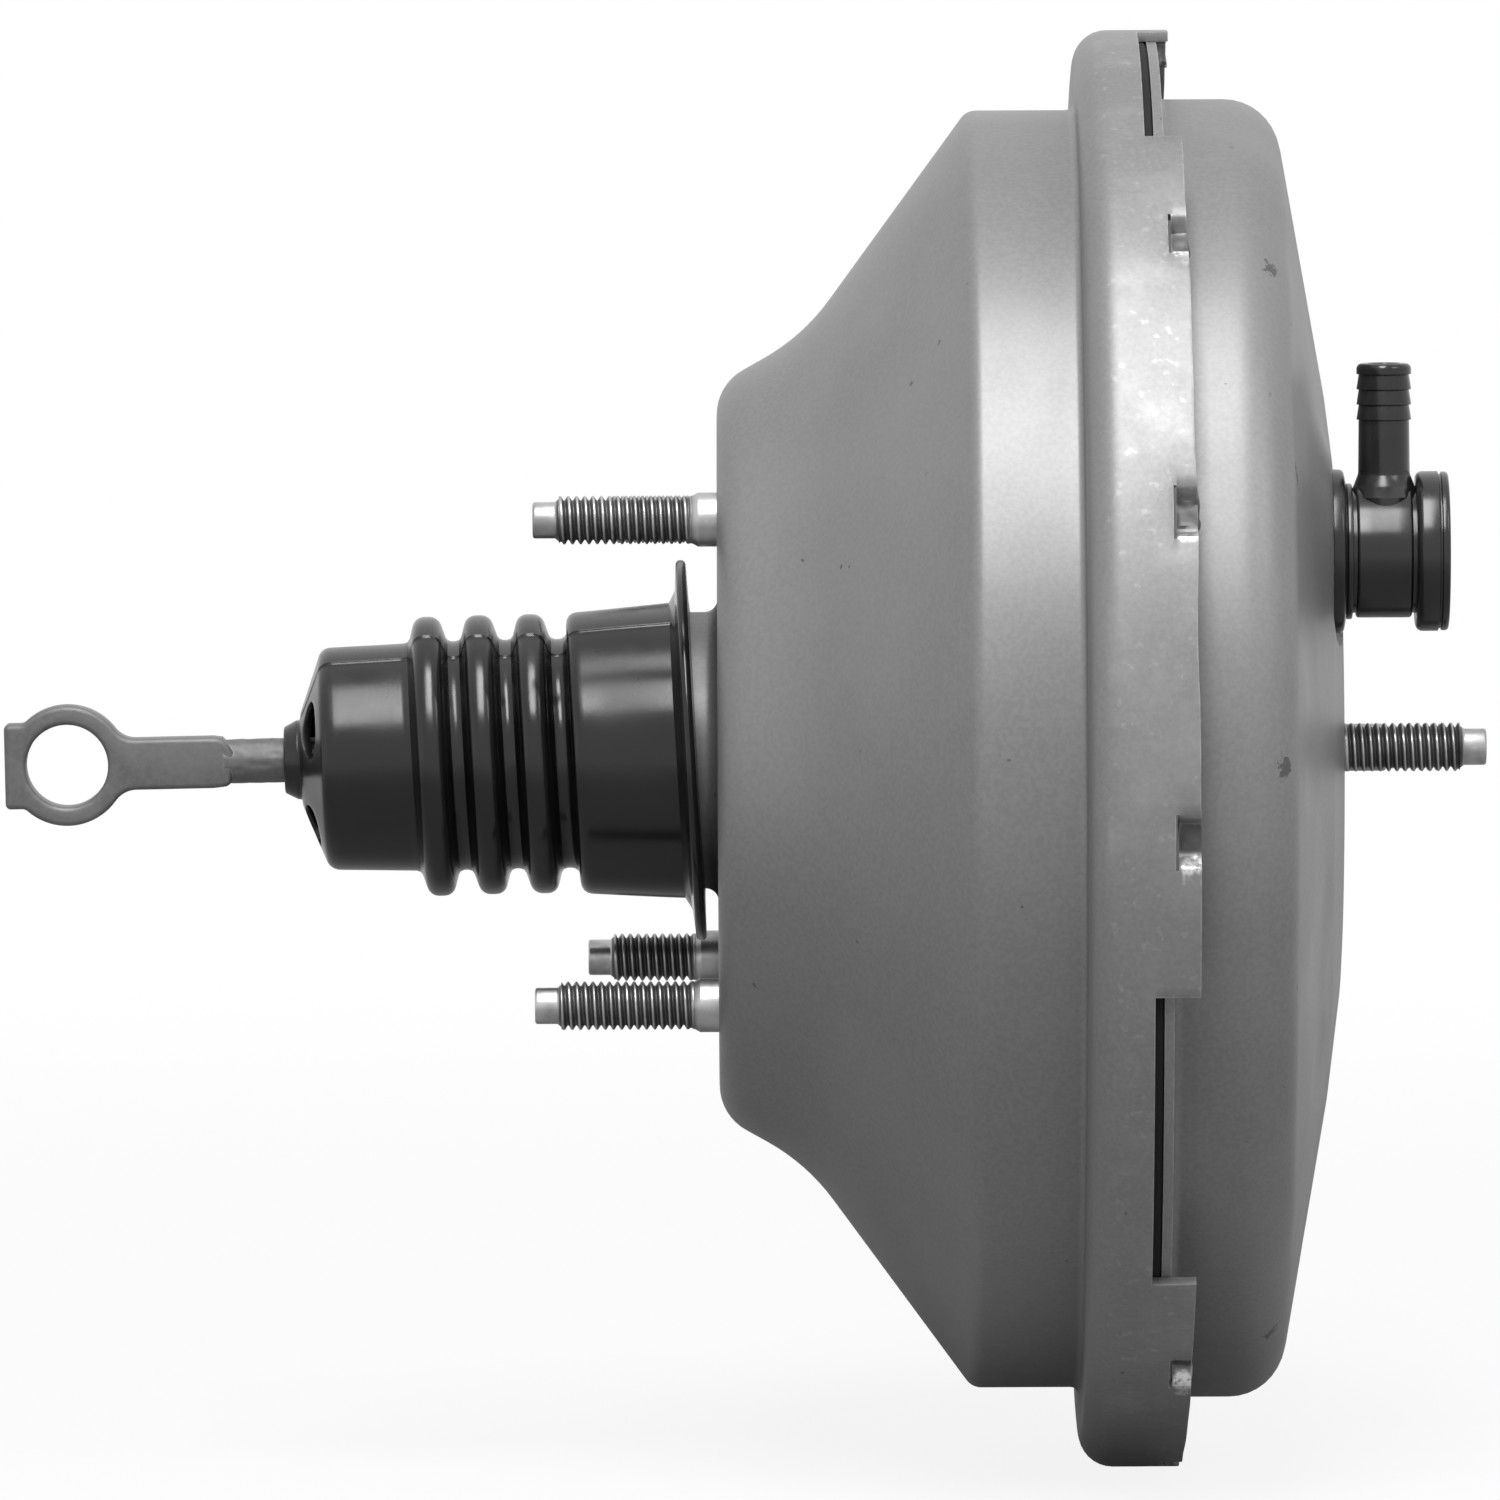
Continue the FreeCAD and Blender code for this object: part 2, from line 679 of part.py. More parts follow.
def rear_seal_retainer():
    start = SHEET - NECK_LENGTH + BEARING_LENGTH + SEAL_LENGTH
    return ring(start, start + RETAINER_THICKNESS, TAIL_R + WORKING_GAP, NECK_R - SHEET - RUNNING_FIT)


# Power piston
def valve_body():
    groove_r = VACUUM_SEAT_R + VACUUM_SEAT_WIDTH
    body = turned([
        (TAIL_END, TAIL_BORE_R),
        (TAIL_END, TAIL_R),
        (HUB_START, TAIL_R),
        (HUB_START, HUB_R),
        (HUB_FLANGE_X, HUB_R),
        (HUB_FLANGE_X, HUB_FLANGE_R),
        (HUB_FLANGE_FRONT, HUB_FLANGE_R),
        (HUB_FLANGE_FRONT, NOSE_R),
        (NOSE_END, NOSE_R),
        (NOSE_END, REACTION_BORE_R),
        (REACTION_BORE_START, REACTION_BORE_R),
        (REACTION_BORE_START, PLUNGER_NOSE_R + RUNNING_FIT),
        (WAIST_END + PLUNGER_TRAVEL, PLUNGER_NOSE_R + RUNNING_FIT),
        (WAIST_END + PLUNGER_TRAVEL, PLUNGER_R + RUNNING_FIT),
        (PLUNGER_REAR + PLUNGER_LAND_LENGTH + PLUNGER_TRAVEL + WORKING_GAP, PLUNGER_R + RUNNING_FIT),
        (PLUNGER_REAR + PLUNGER_LAND_LENGTH + PLUNGER_TRAVEL + WORKING_GAP, VACUUM_SEAT_R),
        (VACUUM_SEAT_X, VACUUM_SEAT_R),
        (VACUUM_SEAT_X, groove_r),
        (VACUUM_CHAMBER_END, groove_r),
        (VACUUM_CHAMBER_END, VACUUM_CHAMBER_R),
        (VACUUM_GROOVE_END, VACUUM_CHAMBER_R),
        (VACUUM_GROOVE_END, TAIL_BORE_R),
    ])
    slot = block(
        KEY_X - SOFT_GAP,
        KEY_X + KEY_THICKNESS + SOFT_GAP,
        -KEY_WIDTH / 2.0 - SOFT_GAP,
        KEY_WIDTH / 2.0 + SOFT_GAP,
        -KEY_TAIL - SOFT_GAP,
        HUB_R + HUB_R,
    )
    hole = rod(VACUUM_CHAMBER_END - SEAT_GAP, NOSE_END + SHEET, VACUUM_HOLE_R, 0, VACUUM_HOLE_CIRCLE_R)
    cuts = [spun(hole, (i + 0.5) * 360.0 / VACUUM_HOLES) for i in range(VACUUM_HOLES)]
    return body.cut(cuts + [slot])


def plate_profile(gap):
    """Rear side of the diaphragm plate, moved back by a gap."""
    shift = gap * math.hypot(1.0, PLATE_SLOPE) / PLATE_SLOPE - gap
    return [
        (PLATE_SEAT - gap, HUB_R + SEAT_GAP),
        (PLATE_SEAT - gap, PLATE_FLAT_R - shift, PLATE_BEND),
        (PLATE_RIM_X - gap - shift, PLATE_RIM_R),
    ]


def diaphragm_plate():
    rear = plate_profile(0.0)
    rear[-1] = (PLATE_RIM_X, PLATE_RIM_R, PLATE_SHEET * 2.0)
    rear.append((PLATE_RIM_X + PLATE_CURL, PLATE_RIM_R))
    return pressed(rear, PLATE_SHEET)


def diaphragm():
    wall_r = DRUM_R - SHEET - SOFT_GAP - RUBBER
    front = plate_profile(SOFT_GAP)
    corner_x = front[-1][0] + (wall_r - PLATE_RIM_R) / PLATE_SLOPE
    rear_x = REAR_DEPTH + SHEET
    skin = pressed(
        [(rear_x + RUBBER / 2.0, wall_r), (corner_x, wall_r, RUBBER * 2.0), front[1], front[0]],
        RUBBER,
    )
    bead = turned([
        (rear_x, wall_r),
        (rear_x, RIM_INNER_R - SEAT_GAP, RIM_ROUND - SHEET),
        (FLANGE_X, RIM_INNER_R - SEAT_GAP),
        (FLANGE_X, FRONT_DRUM_R - SHEET),
        (rear_x + RUBBER, FRONT_DRUM_R - SHEET),
        (rear_x + RUBBER, wall_r),
    ])
    bead_end = PLATE_SEAT - SOFT_GAP
    inner = ring(bead_end - BEAD_LENGTH, bead_end, HUB_R + SEAT_GAP, HUB_R + BEAD_WIDTH)
    return skin.fuse([bead, inner]).removeSplitter()


def return_spring():
    return coil(HUB_FLANGE_FRONT, FRONT_PLATE_X, RETURN_SPRING_R, RETURN_SPRING_WIRE_R, RETURN_SPRING_COILS)


def reaction_disc():
    return ring(REACTION_BORE_START, OUTPUT_HEAD_X, 0, REACTION_BORE_R - RUNNING_FIT)


def output_rod():
    body = turned([
        (OUTPUT_HEAD_X, 0),
        (OUTPUT_HEAD_X, REACTION_BORE_R - SEAT_GAP),
        (OUTPUT_HEAD_END, REACTION_BORE_R - SEAT_GAP),
        (OUTPUT_HEAD_END, OUTPUT_ROD_R, OUTPUT_ROD_FILLET),
        (OUTPUT_END, OUTPUT_ROD_R, SCREW_STAND_OFF),
        (OUTPUT_END, OUTPUT_SOCKET_R + RUNNING_FIT),
        (OUTPUT_END - OUTPUT_SOCKET_DEPTH, OUTPUT_SOCKET_R + RUNNING_FIT),
        (OUTPUT_END - OUTPUT_SOCKET_DEPTH, 0),
    ])
    return body


def output_rod_screw():
    head = OUTPUT_END + SCREW_STAND_OFF
    end = head + SCREW_HEAD_LENGTH
    tip = end + SCREW_TIP_LENGTH
    shank = turned([
        (head - SCREW_SHANK_LENGTH, 0),
        (head - SCREW_SHANK_LENGTH, OUTPUT_SOCKET_R),
        (end, OUTPUT_SOCKET_R),
        (end, SCREW_TIP_R),
        (tip, SCREW_TIP_R, SCREW_TIP_R * 0.8),
        (tip, 0),
    ])
    reach = SCREW_HEAD_ACROSS_FLATS / math.sqrt(3.0)
    corners = [math.radians(60.0 * i) for i in range(7)]
    hexagon = Part.makePolygon([Vector(head, reach * math.cos(a), reach * math.sin(a)) for a in corners])
    return shank.fuse(Part.Face(hexagon).extrude(Vector(SCREW_HEAD_LENGTH, 0, 0)))


def output_rod_retainer():
    cap_r = NOSE_R + RUNNING_FIT
    return turned([
        (NOSE_END, OUTPUT_RETAINER_BORE_R),
        (NOSE_END, cap_r),
        (NOSE_END - NOSE_LENGTH / 2.0, cap_r),
        (NOSE_END - NOSE_LENGTH / 2.0, cap_r + OUTPUT_RETAINER_THICKNESS),
        (NOSE_END + OUTPUT_RETAINER_THICKNESS, cap_r + OUTPUT_RETAINER_THICKNESS, OUTPUT_RETAINER_THICKNESS),
        (NOSE_END + OUTPUT_RETAINER_THICKNESS, OUTPUT_RETAINER_BORE_R),
    ])


# Valve plunger, stop key and input rod
def valve_plunger():
    body = turned([
        (PLUNGER_REAR, 0),
        (PLUNGER_REAR, PLUNGER_LAND_R),
        (PLUNGER_REAR + PLUNGER_LAND_LENGTH, PLUNGER_LAND_R),
        (PLUNGER_REAR + PLUNGER_LAND_LENGTH, PLUNGER_R),
        (WAIST_START, PLUNGER_R),
        (WAIST_START, WAIST_R),
        (WAIST_END, WAIST_R),
        (WAIST_END, PLUNGER_NOSE_R),
        (REACTION_BORE_START - PLUNGER_TRAVEL - SOFT_GAP, PLUNGER_NOSE_R, SOFT_GAP),
        (REACTION_BORE_START - PLUNGER_TRAVEL - SOFT_GAP, 0),
    ])
    socket = Part.makeSphere(BALL_R + RUNNING_FIT, Vector(BALL_X, 0, 0))
    return body.cut([socket, rod(PLUNGER_REAR - SHEET, BALL_X, PLUNGER_MOUTH_R)])


def stop_key():
    plate = block(KEY_X, KEY_X + KEY_THICKNESS, -KEY_WIDTH / 2.0, KEY_WIDTH / 2.0, -KEY_TAIL, KEY_TOP)
    fork_r = WAIST_R + SOFT_GAP
    fork = block(KEY_X - SHEET, KEY_X + KEY_THICKNESS + SHEET, -fork_r, fork_r, -KEY_TAIL - SHEET, 0)
    return plate.cut([fork, rod(KEY_X - SHEET, KEY_X + KEY_THICKNESS + SHEET, fork_r)])


def eye_outline():
    """Outline of the eye and its bar in the plane y = 0, seen from the near side."""
    centre = Vector(-ROD_TO_EYE, 0, 0)
    half_bar = BAR_HEIGHT / 2.0
    half_end = EYE_END_HEIGHT / 2.0
    end_x = -EYE_END

    def at(x, z):
        return centre + Vector(x, 0, z)

    def arc(centre_x, centre_z, radius, start, finish):
        angles = (start, (start + finish) / 2.0, finish)
        spots = [at(centre_x + radius * math.cos(a), centre_z + radius * math.sin(a)) for a in angles]
        return Part.Arc(*spots).toShape(), spots[0], spots[2]

    def blend(height, radius):
        reach = math.sqrt((EYE_R + radius) ** 2 - (height + radius) ** 2)
        return reach, math.atan2(height + radius, reach)

    bar_x, bar_angle = blend(half_bar, EYE_BLEND)
    end_reach, end_angle = blend(half_end, EYE_END_BLEND)
    upper = []
    upper.append(arc(bar_x, half_bar + EYE_BLEND, EYE_BLEND, -math.pi / 2.0, bar_angle - math.pi))
    upper.append(arc(0, 0, EYE_R, bar_angle, math.pi - end_angle))
    upper.append(arc(-end_reach, half_end + EYE_END_BLEND, EYE_END_BLEND, -end_angle, -math.pi / 2.0))
    tip = (end_x + EYE_END_ROUND, half_end - EYE_END_ROUND)
    upper.append(arc(tip[0], tip[1], EYE_END_ROUND, math.pi / 2.0, math.pi))
    bar_end = at(ROD_TO_EYE - ROD_ROUND_LENGTH, half_bar)
    edges = [Part.makeLine(bar_end, upper[0][1])]
    for i, (edge, start, finish) in enumerate(upper):
        edges.append(edge)
        following = upper[i + 1][1] if i + 1 < len(upper) else Vector(finish.x, 0, 0)
        if finish.distanceToPoint(following) > 1e-6:
            edges.append(Part.makeLine(finish, following))
    mirrored = [edge.mirror(ORIGIN, Vector(0, 0, 1)) for edge in edges]
    closing = Part.makeLine(Vector(bar_end.x, 0, half_bar), Vector(bar_end.x, 0, -half_bar))
    return Part.Wire(Part.__sortEdges__(edges + mirrored + [closing]))


def input_rod():
    ball = Part.makeSphere(BALL_R)
    neck = rod(-ROD_NECK_LENGTH, 0, ROD_NECK_R)
    shaft = rod(-ROD_ROUND_LENGTH - BAR_HEIGHT / 2.0, -ROD_NECK_LENGTH, ROD_R)
    face = Part.Face(eye_outline())
    forging = face.extrude(Vector(0, EYE_THICKNESS, 0))
    forging.translate(Vector(0, -EYE_THICKNESS / 2.0, 0))
    far = BAR_THICKNESS / 2.0
    start = EYE_R - ROD_TO_EYE + EYE_BLEND / 2.0
    high = block(start, 0, far, EYE_THICKNESS, -EYE_R, EYE_R)
    low = block(start, 0, -EYE_THICKNESS, -far, -EYE_R, EYE_R)
    hole = Part.makeCylinder(
        EYE_BORE_R, 2.0 * EYE_THICKNESS, Vector(-ROD_TO_EYE, -EYE_THICKNESS, 0), Y_AXIS
    )
    piece = ball.fuse([neck, shaft, forging.cut([high, low])]).cut(hole).removeSplitter()
    piece.rotate(ORIGIN, Y_AXIS, -ROD_DROOP)
    piece.translate(Vector(BALL_X, 0, 0))
    return piece


def on_rod(shape):
    """Turn a piece that rides on the input rod to the rod's own line."""
    return spun(shape, -ROD_DROOP, Vector(BALL_X, 0, 0), Y_AXIS)


# Control valve and air intake
def control_valve():
    sleeve_outer = POPPET_SLEEVE_R + POPPET_SLEEVE_WALL
    flange_end = POPPET_REAR + POPPET_FLANGE_THICKNESS
    face_rear = POPPET_FACE_X - POPPET_FACE_THICKNESS
    return turned([
        (POPPET_REAR, POPPET_SLEEVE_R),
        (POPPET_REAR, TAIL_BORE_R - RUNNING_FIT),
        (flange_end, TAIL_BORE_R - RUNNING_FIT),
        (flange_end, sleeve_outer),
        (face_rear, sleeve_outer),
        (face_rear, POPPET_FACE_R),
        (POPPET_FACE_X, POPPET_FACE_R),
        (POPPET_FACE_X, POPPET_BORE_R),
        (face_rear, POPPET_BORE_R),
        (face_rear, POPPET_SLEEVE_R),
    ])


def poppet_retainer():
    sleeve_end = POPPET_REAR + POPPET_RETAINER_SLEEVE
    return turned([
        (RETAINER_X, POPPET_RETAINER_BORE_R),
        (RETAINER_X, TAIL_BORE_R - RUNNING_FIT),
        (POPPET_REAR, TAIL_BORE_R - RUNNING_FIT),
        (POPPET_REAR, POPPET_SLEEVE_R - SEAT_GAP),
        (sleeve_end, POPPET_SLEEVE_R - SEAT_GAP),
        (sleeve_end, POPPET_RETAINER_BORE_R),
    ])


def poppet_spring():
    start = POPPET_REAR + POPPET_FLANGE_THICKNESS
    end = POPPET_FACE_X - POPPET_FACE_THICKNESS
    inner = POPPET_SLEEVE_R + POPPET_SLEEVE_WALL + SOFT_GAP
    return coil(start, end, inner + POPPET_WIRE / 2.0, POPPET_WIRE / 2.0, POPPET_COILS)


def plunger_return_spring():
    start = SPRING_SEAT_X + SPRING_SEAT_THICKNESS + SOFT_GAP
    return coil(start, RETAINER_X, ROD_SPRING_R, ROD_SPRING_WIRE / 2.0, ROD_SPRING_COILS)


def spring_seat():
    return on_rod(
        ring(SPRING_SEAT_X, SPRING_SEAT_X + SPRING_SEAT_THICKNESS, ROD_R + RUNNING_FIT, SPRING_SEAT_R)
    )


def silencer():
    return ring(SILENCER_START, SILENCER_END, FILTER_BORE_R, TAIL_BORE_R - SEAT_GAP)


def air_filter():
    return ring(FILTER_START, SILENCER_START, FILTER_BORE_R, TAIL_BORE_R - SEAT_GAP)


def filter_retainer():
    return ring(FILTER_RETAINER_X, FILTER_START, FILTER_RETAINER_BORE_R, TAIL_BORE_R - RUNNING_FIT)


# Dust boot
def boot_profile():
    points = [
        (BOOT_LIP_X, BOOT_LIP_OUTER_R),
        (BOOT_COLLAR_X, BOOT_COLLAR_R),
        (BOOT_SHOULDER_X, BOOT_SHOULDER_R, BOOT_SHOULDER_ROUND),
    ]
    start = FOLD_FIRST_X
    for fold in range(FOLDS):
        rise = BOOT_NECK_R if fold == 0 else FOLD_VALLEY_R
        finish = start + FOLD_CREST_WIDTH
        points.append((start, rise, FOLD_VALLEY_ROUND))
        points.append((start, FOLD_CREST_R, FOLD_CREST_ROUND))
        points.append((finish, FOLD_CREST_R, FOLD_CREST_ROUND))
        points.append((finish, FOLD_VALLEY_R, FOLD_VALLEY_ROUND))
        start += FOLD_PITCH
    points.append((start, FOLD_VALLEY_R, FOLD_VALLEY_ROUND))
    points.append((start, BOOT_CUFF_R, BOOT_CUFF_ROUND))
    points.append((BOOT_FLANGE_X + BOOT_FLANGE_WIDTH, BOOT_CUFF_END_R))
    return points


def dust_boot():
    skin = pressed(boot_profile(), BOOT_WALL)
    lip = turned([
        (BOOT_LIP_X, ROD_R + RUNNING_FIT),
        (BOOT_LIP_X, BOOT_LIP_OUTER_R),
        (BOOT_COLLAR_X, BOOT_COLLAR_R),
        (BOOT_COLLAR_X + BOOT_WALL, BOOT_COLLAR_R),
        (BOOT_COLLAR_X + BOOT_WALL, ROD_R + RUNNING_FIT),
    ])
    root = BOOT_CUFF_END_R - BOOT_WALL
    flange_end = BOOT_FLANGE_X + BOOT_FLANGE_WIDTH
    inset = (BOOT_FLANGE_WIDTH - BOOT_FLANGE_EDGE) / 2.0
    flange = turned([
        (BOOT_FLANGE_X, root + BOOT_WALL / 2.0),
        (BOOT_FLANGE_X + inset, BOOT_FLANGE_R, BOOT_FLANGE_EDGE / 3.0),
        (flange_end - inset, BOOT_FLANGE_R, BOOT_FLANGE_EDGE / 3.0),
        (flange_end, root + BOOT_WALL / 2.0),
    ])
    vent = Part.Face(
        outline([
            (BOOT_LIP_X, BOOT_VENT_INNER_R),
            (BOOT_LIP_X, BOOT_VENT_OUTER_R),
            (BOOT_SHOULDER_X, BOOT_VENT_OUTER_R),
            (BOOT_SHOULDER_X, BOOT_VENT_INNER_R),
        ])
    ).revolve(ORIGIN, X_AXIS, BOOT_VENT_ANGLE)
    step = 360.0 / BOOT_VENTS
    vents = [spun(vent, (i + 0.5) * step - BOOT_VENT_ANGLE / 2.0) for i in range(BOOT_VENTS)]
    boot = skin.fuse([lip, flange]).cut(vents).removeSplitter()
    return spun(boot, -BOOT_TILT, Vector(BOOT_FLANGE_X, 0, 0), Y_AXIS)


# Check valve, built on the axis and moved to its place
def check_valve_grommet():
    rear = VALVE_SEAT_X - SHEET
    bore = VALVE_STEM_R + RUNNING_FIT
    return at_valve(turned([
        (rear - GROMMET_INNER_THICKNESS, bore),
        (rear - GROMMET_INNER_THICKNESS, GROMMET_NECK_R),
        (rear - GROMMET_INNER_THICKNESS / 2.0, GROMMET_INNER_FLANGE_R),
        (rear, GROMMET_INNER_FLANGE_R),
        (rear, GROMMET_NECK_R - RUNNING_FIT),
        (VALVE_SEAT_X, GROMMET_NECK_R - RUNNING_FIT),
        (VALVE_SEAT_X, GROMMET_FLANGE_R),
        (VALVE_RING_X, GROMMET_FLANGE_R, GROMMET_FLANGE_THICKNESS / 4.0),
        (VALVE_RING_X, bore),
    ]))


def nipple():
    """Hose nipple standing on the barrel, with saw-tooth barbs towards its top."""
    points = [(0, 0), (NIPPLE_FOOT_R, 0), (NIPPLE_FOOT_R, VALVE_BARREL_R - VALVE_WALL / 2.0)]
    points.append((NIPPLE_NECK_R, VALVE_BARREL_R + VALVE_WALL))
    top = NIPPLE_TOP - NIPPLE_TOP_BARB
    for barb in range(NIPPLE_BARBS):
        height = top - (NIPPLE_BARBS - 1 - barb) * NIPPLE_BARB_PITCH
        points.append((NIPPLE_NECK_R, height))
        points.append((NIPPLE_BARB_R, height))
        if barb < NIPPLE_BARBS - 1:
            points.append((NIPPLE_NECK_R, height + NIPPLE_BARB_PITCH))
    points = [p for i, p in enumerate(points) if i == 0 or p != points[i - 1]]
    points += [(NIPPLE_BARB_R, NIPPLE_TOP - NIPPLE_TOP_ROUND)]
    points += [(NIPPLE_BARB_R - NIPPLE_TOP_ROUND, NIPPLE_TOP), (0, NIPPLE_TOP)]
    spots = [Vector(NIPPLE_X + r, 0, h) for r, h in points + points[:1]]
    return Part.Face(Part.makePolygon(spots)).revolve(Vector(NIPPLE_X, 0, 0), Vector(0, 0, 1), 360)


def check_valve_body():
    groove_r = VALVE_BARREL_R - VALVE_GROOVE_DEPTH
    end = VALVE_CAP_X - VALVE_GROOVE_WIDTH
    outside = turned([
        (VALVE_RING_X - VALVE_STEM_LENGTH, 0),
        (VALVE_RING_X - VALVE_STEM_LENGTH, VALVE_STEM_R - VALVE_WALL / 4.0),
        (VALVE_RING_X - VALVE_STEM_LENGTH + VALVE_WALL, VALVE_STEM_R),
        (VALVE_RING_X, VALVE_STEM_R),
        (VALVE_RING_X, VALVE_RING_R),
        (VALVE_BARREL_X, VALVE_RING_R),
        (VALVE_BARREL_X, groove_r),
        (VALVE_BARREL_X + VALVE_GROOVE_WIDTH, groove_r),
        (VALVE_BARREL_X + VALVE_GROOVE_WIDTH, VALVE_BARREL_R, VALVE_GROOVE_WIDTH / 2.0),
        (end, VALVE_BARREL_R, VALVE_GROOVE_WIDTH / 2.0),
        (end, groove_r),
        (VALVE_CAP_X, groove_r),
        (VALVE_CAP_X, 0),
    ])
    chamber_r = VALVE_BARREL_R - VALVE_WALL
    seat_x = VALVE_FLOOR_X + VALVE_SEAT_HEIGHT
    chamber = turned([
        (VALVE_FLOOR_X, CHECK_POPPET_R - WORKING_GAP),
        (VALVE_FLOOR_X, chamber_r),
        (VALVE_CAP_X, chamber_r),
        (VALVE_CAP_X, 0),
        (seat_x, 0),
        (seat_x, CHECK_POPPET_R - WORKING_GAP),
    ])
    stem_bore = rod(VALVE_RING_X - VALVE_STEM_LENGTH, seat_x, VALVE_STEM_BORE_R)
    hose_bore = Part.makeCylinder(NIPPLE_BORE_R, NIPPLE_TOP, Vector(NIPPLE_X, 0, 0), Vector(0, 0, 1))
    return at_valve(outside.fuse(nipple()).cut([chamber, stem_bore, hose_bore]).removeSplitter())


def check_valve_cap():
    chamber_r = VALVE_BARREL_R - VALVE_WALL
    end = VALVE_CAP_X + VALVE_CAP_LENGTH
    lip_x = end - VALVE_CAP_LIP
    groove_r = VALVE_CAP_R - VALVE_CAP_GROOVE
    outside = turned([
        (VALVE_CAP_X - VALVE_WALL, 0),
        (VALVE_CAP_X - VALVE_WALL, chamber_r - RUNNING_FIT),
        (VALVE_CAP_X, chamber_r - RUNNING_FIT),
        (VALVE_CAP_X, VALVE_CAP_R, VALVE_CAP_ROUND),
        (lip_x - VALVE_CAP_GROOVE, VALVE_CAP_R),
        (lip_x - VALVE_CAP_GROOVE, groove_r),
        (lip_x, groove_r),
        (lip_x, VALVE_CAP_R),
        (end, VALVE_CAP_R, VALVE_CAP_ROUND / 2.0),
        (end, 0),
    ])
    guide_start = VALVE_CAP_X - VALVE_WALL
    guide = rod(guide_start, guide_start + CHECK_GUIDE_DEPTH + VALVE_WALL, CHECK_POPPET_STEM_R + RUNNING_FIT)
    well = ring(guide_start, guide_start + VALVE_WALL, CHECK_GUIDE_R, chamber_r - VALVE_WALL / 2.0)
    return at_valve(outside.cut([guide, well]))


def check_valve_poppet():
    disc_end = CHECK_POPPET_X + CHECK_POPPET_THICKNESS
    return at_valve(turned([
        (CHECK_POPPET_X, 0),
        (CHECK_POPPET_X, CHECK_POPPET_R),
        (disc_end, CHECK_POPPET_R),
        (disc_end, CHECK_POPPET_STEM_R),
        (disc_end + CHECK_POPPET_STEM_LENGTH, CHECK_POPPET_STEM_R),
        (disc_end + CHECK_POPPET_STEM_LENGTH, 0),
    ]))


def check_valve_spring():
    start = CHECK_POPPET_X + CHECK_POPPET_THICKNESS
    return at_valve(coil(start, VALVE_CAP_X, CHECK_SPRING_R, CHECK_SPRING_WIRE / 2.0, CHECK_SPRING_COILS))


PIECES = (
    rear_shell,
    front_shell,
    rear_stud_plate,
    firewall_studs,
    front_stud_plate,
    master_cylinder_studs,
    diaphragm,
    diaphragm_plate,
    valve_body,
    rear_bearing,
    rear_seal,
    rear_seal_retainer,
    return_spring,
    reaction_disc,
    output_rod,
    output_rod_screw,
    output_rod_retainer,
    front_seal,
    valve_plunger,
    stop_key,
    input_rod,
    control_valve,
    poppet_retainer,
    poppet_spring,
    plunger_return_spring,
    spring_seat,
    air_filter,
    silencer,
    filter_retainer,
    dust_boot,
    check_valve_grommet,
    check_valve_body,
    check_valve_cap,
    check_valve_poppet,
    check_valve_spring,
)

os.makedirs("parts", exist_ok=True)
for piece in PIECES:
    piece().exportStep("parts/" + piece.__name__ + ".step")
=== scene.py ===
import json
import math

import bmesh
import bpy
from mathutils import Matrix, Vector, noise

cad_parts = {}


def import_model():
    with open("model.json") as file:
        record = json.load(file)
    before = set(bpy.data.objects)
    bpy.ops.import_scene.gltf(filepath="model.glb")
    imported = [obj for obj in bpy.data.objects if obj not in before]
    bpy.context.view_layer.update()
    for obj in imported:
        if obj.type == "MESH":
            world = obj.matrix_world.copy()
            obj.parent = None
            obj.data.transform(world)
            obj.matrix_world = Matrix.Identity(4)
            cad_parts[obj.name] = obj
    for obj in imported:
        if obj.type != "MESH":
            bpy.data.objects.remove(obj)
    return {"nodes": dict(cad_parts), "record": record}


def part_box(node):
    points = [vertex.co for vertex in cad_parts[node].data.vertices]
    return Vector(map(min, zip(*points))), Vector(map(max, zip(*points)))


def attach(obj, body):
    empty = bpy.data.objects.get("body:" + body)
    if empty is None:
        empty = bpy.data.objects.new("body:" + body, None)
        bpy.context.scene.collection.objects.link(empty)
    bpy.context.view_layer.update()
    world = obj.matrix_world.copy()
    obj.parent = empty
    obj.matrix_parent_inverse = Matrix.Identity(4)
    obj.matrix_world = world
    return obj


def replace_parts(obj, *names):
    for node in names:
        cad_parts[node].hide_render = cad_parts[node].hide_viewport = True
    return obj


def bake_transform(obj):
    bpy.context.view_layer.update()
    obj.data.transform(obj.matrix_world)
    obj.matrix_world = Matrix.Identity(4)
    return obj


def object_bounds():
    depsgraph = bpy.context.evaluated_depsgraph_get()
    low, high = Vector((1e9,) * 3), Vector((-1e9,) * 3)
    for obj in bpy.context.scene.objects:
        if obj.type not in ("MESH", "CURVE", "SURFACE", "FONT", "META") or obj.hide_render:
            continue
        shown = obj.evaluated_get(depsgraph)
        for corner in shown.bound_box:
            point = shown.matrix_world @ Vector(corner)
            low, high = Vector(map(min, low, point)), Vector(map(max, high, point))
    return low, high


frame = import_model()
cad_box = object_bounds()

# Sizes are in millimetres and angles in degrees; meshes are made in metres.
# +X runs along the booster's axis, +Z is up, and an angle about the axis is 0 at the top
# and 90 on the side towards the camera.
MM = 0.001

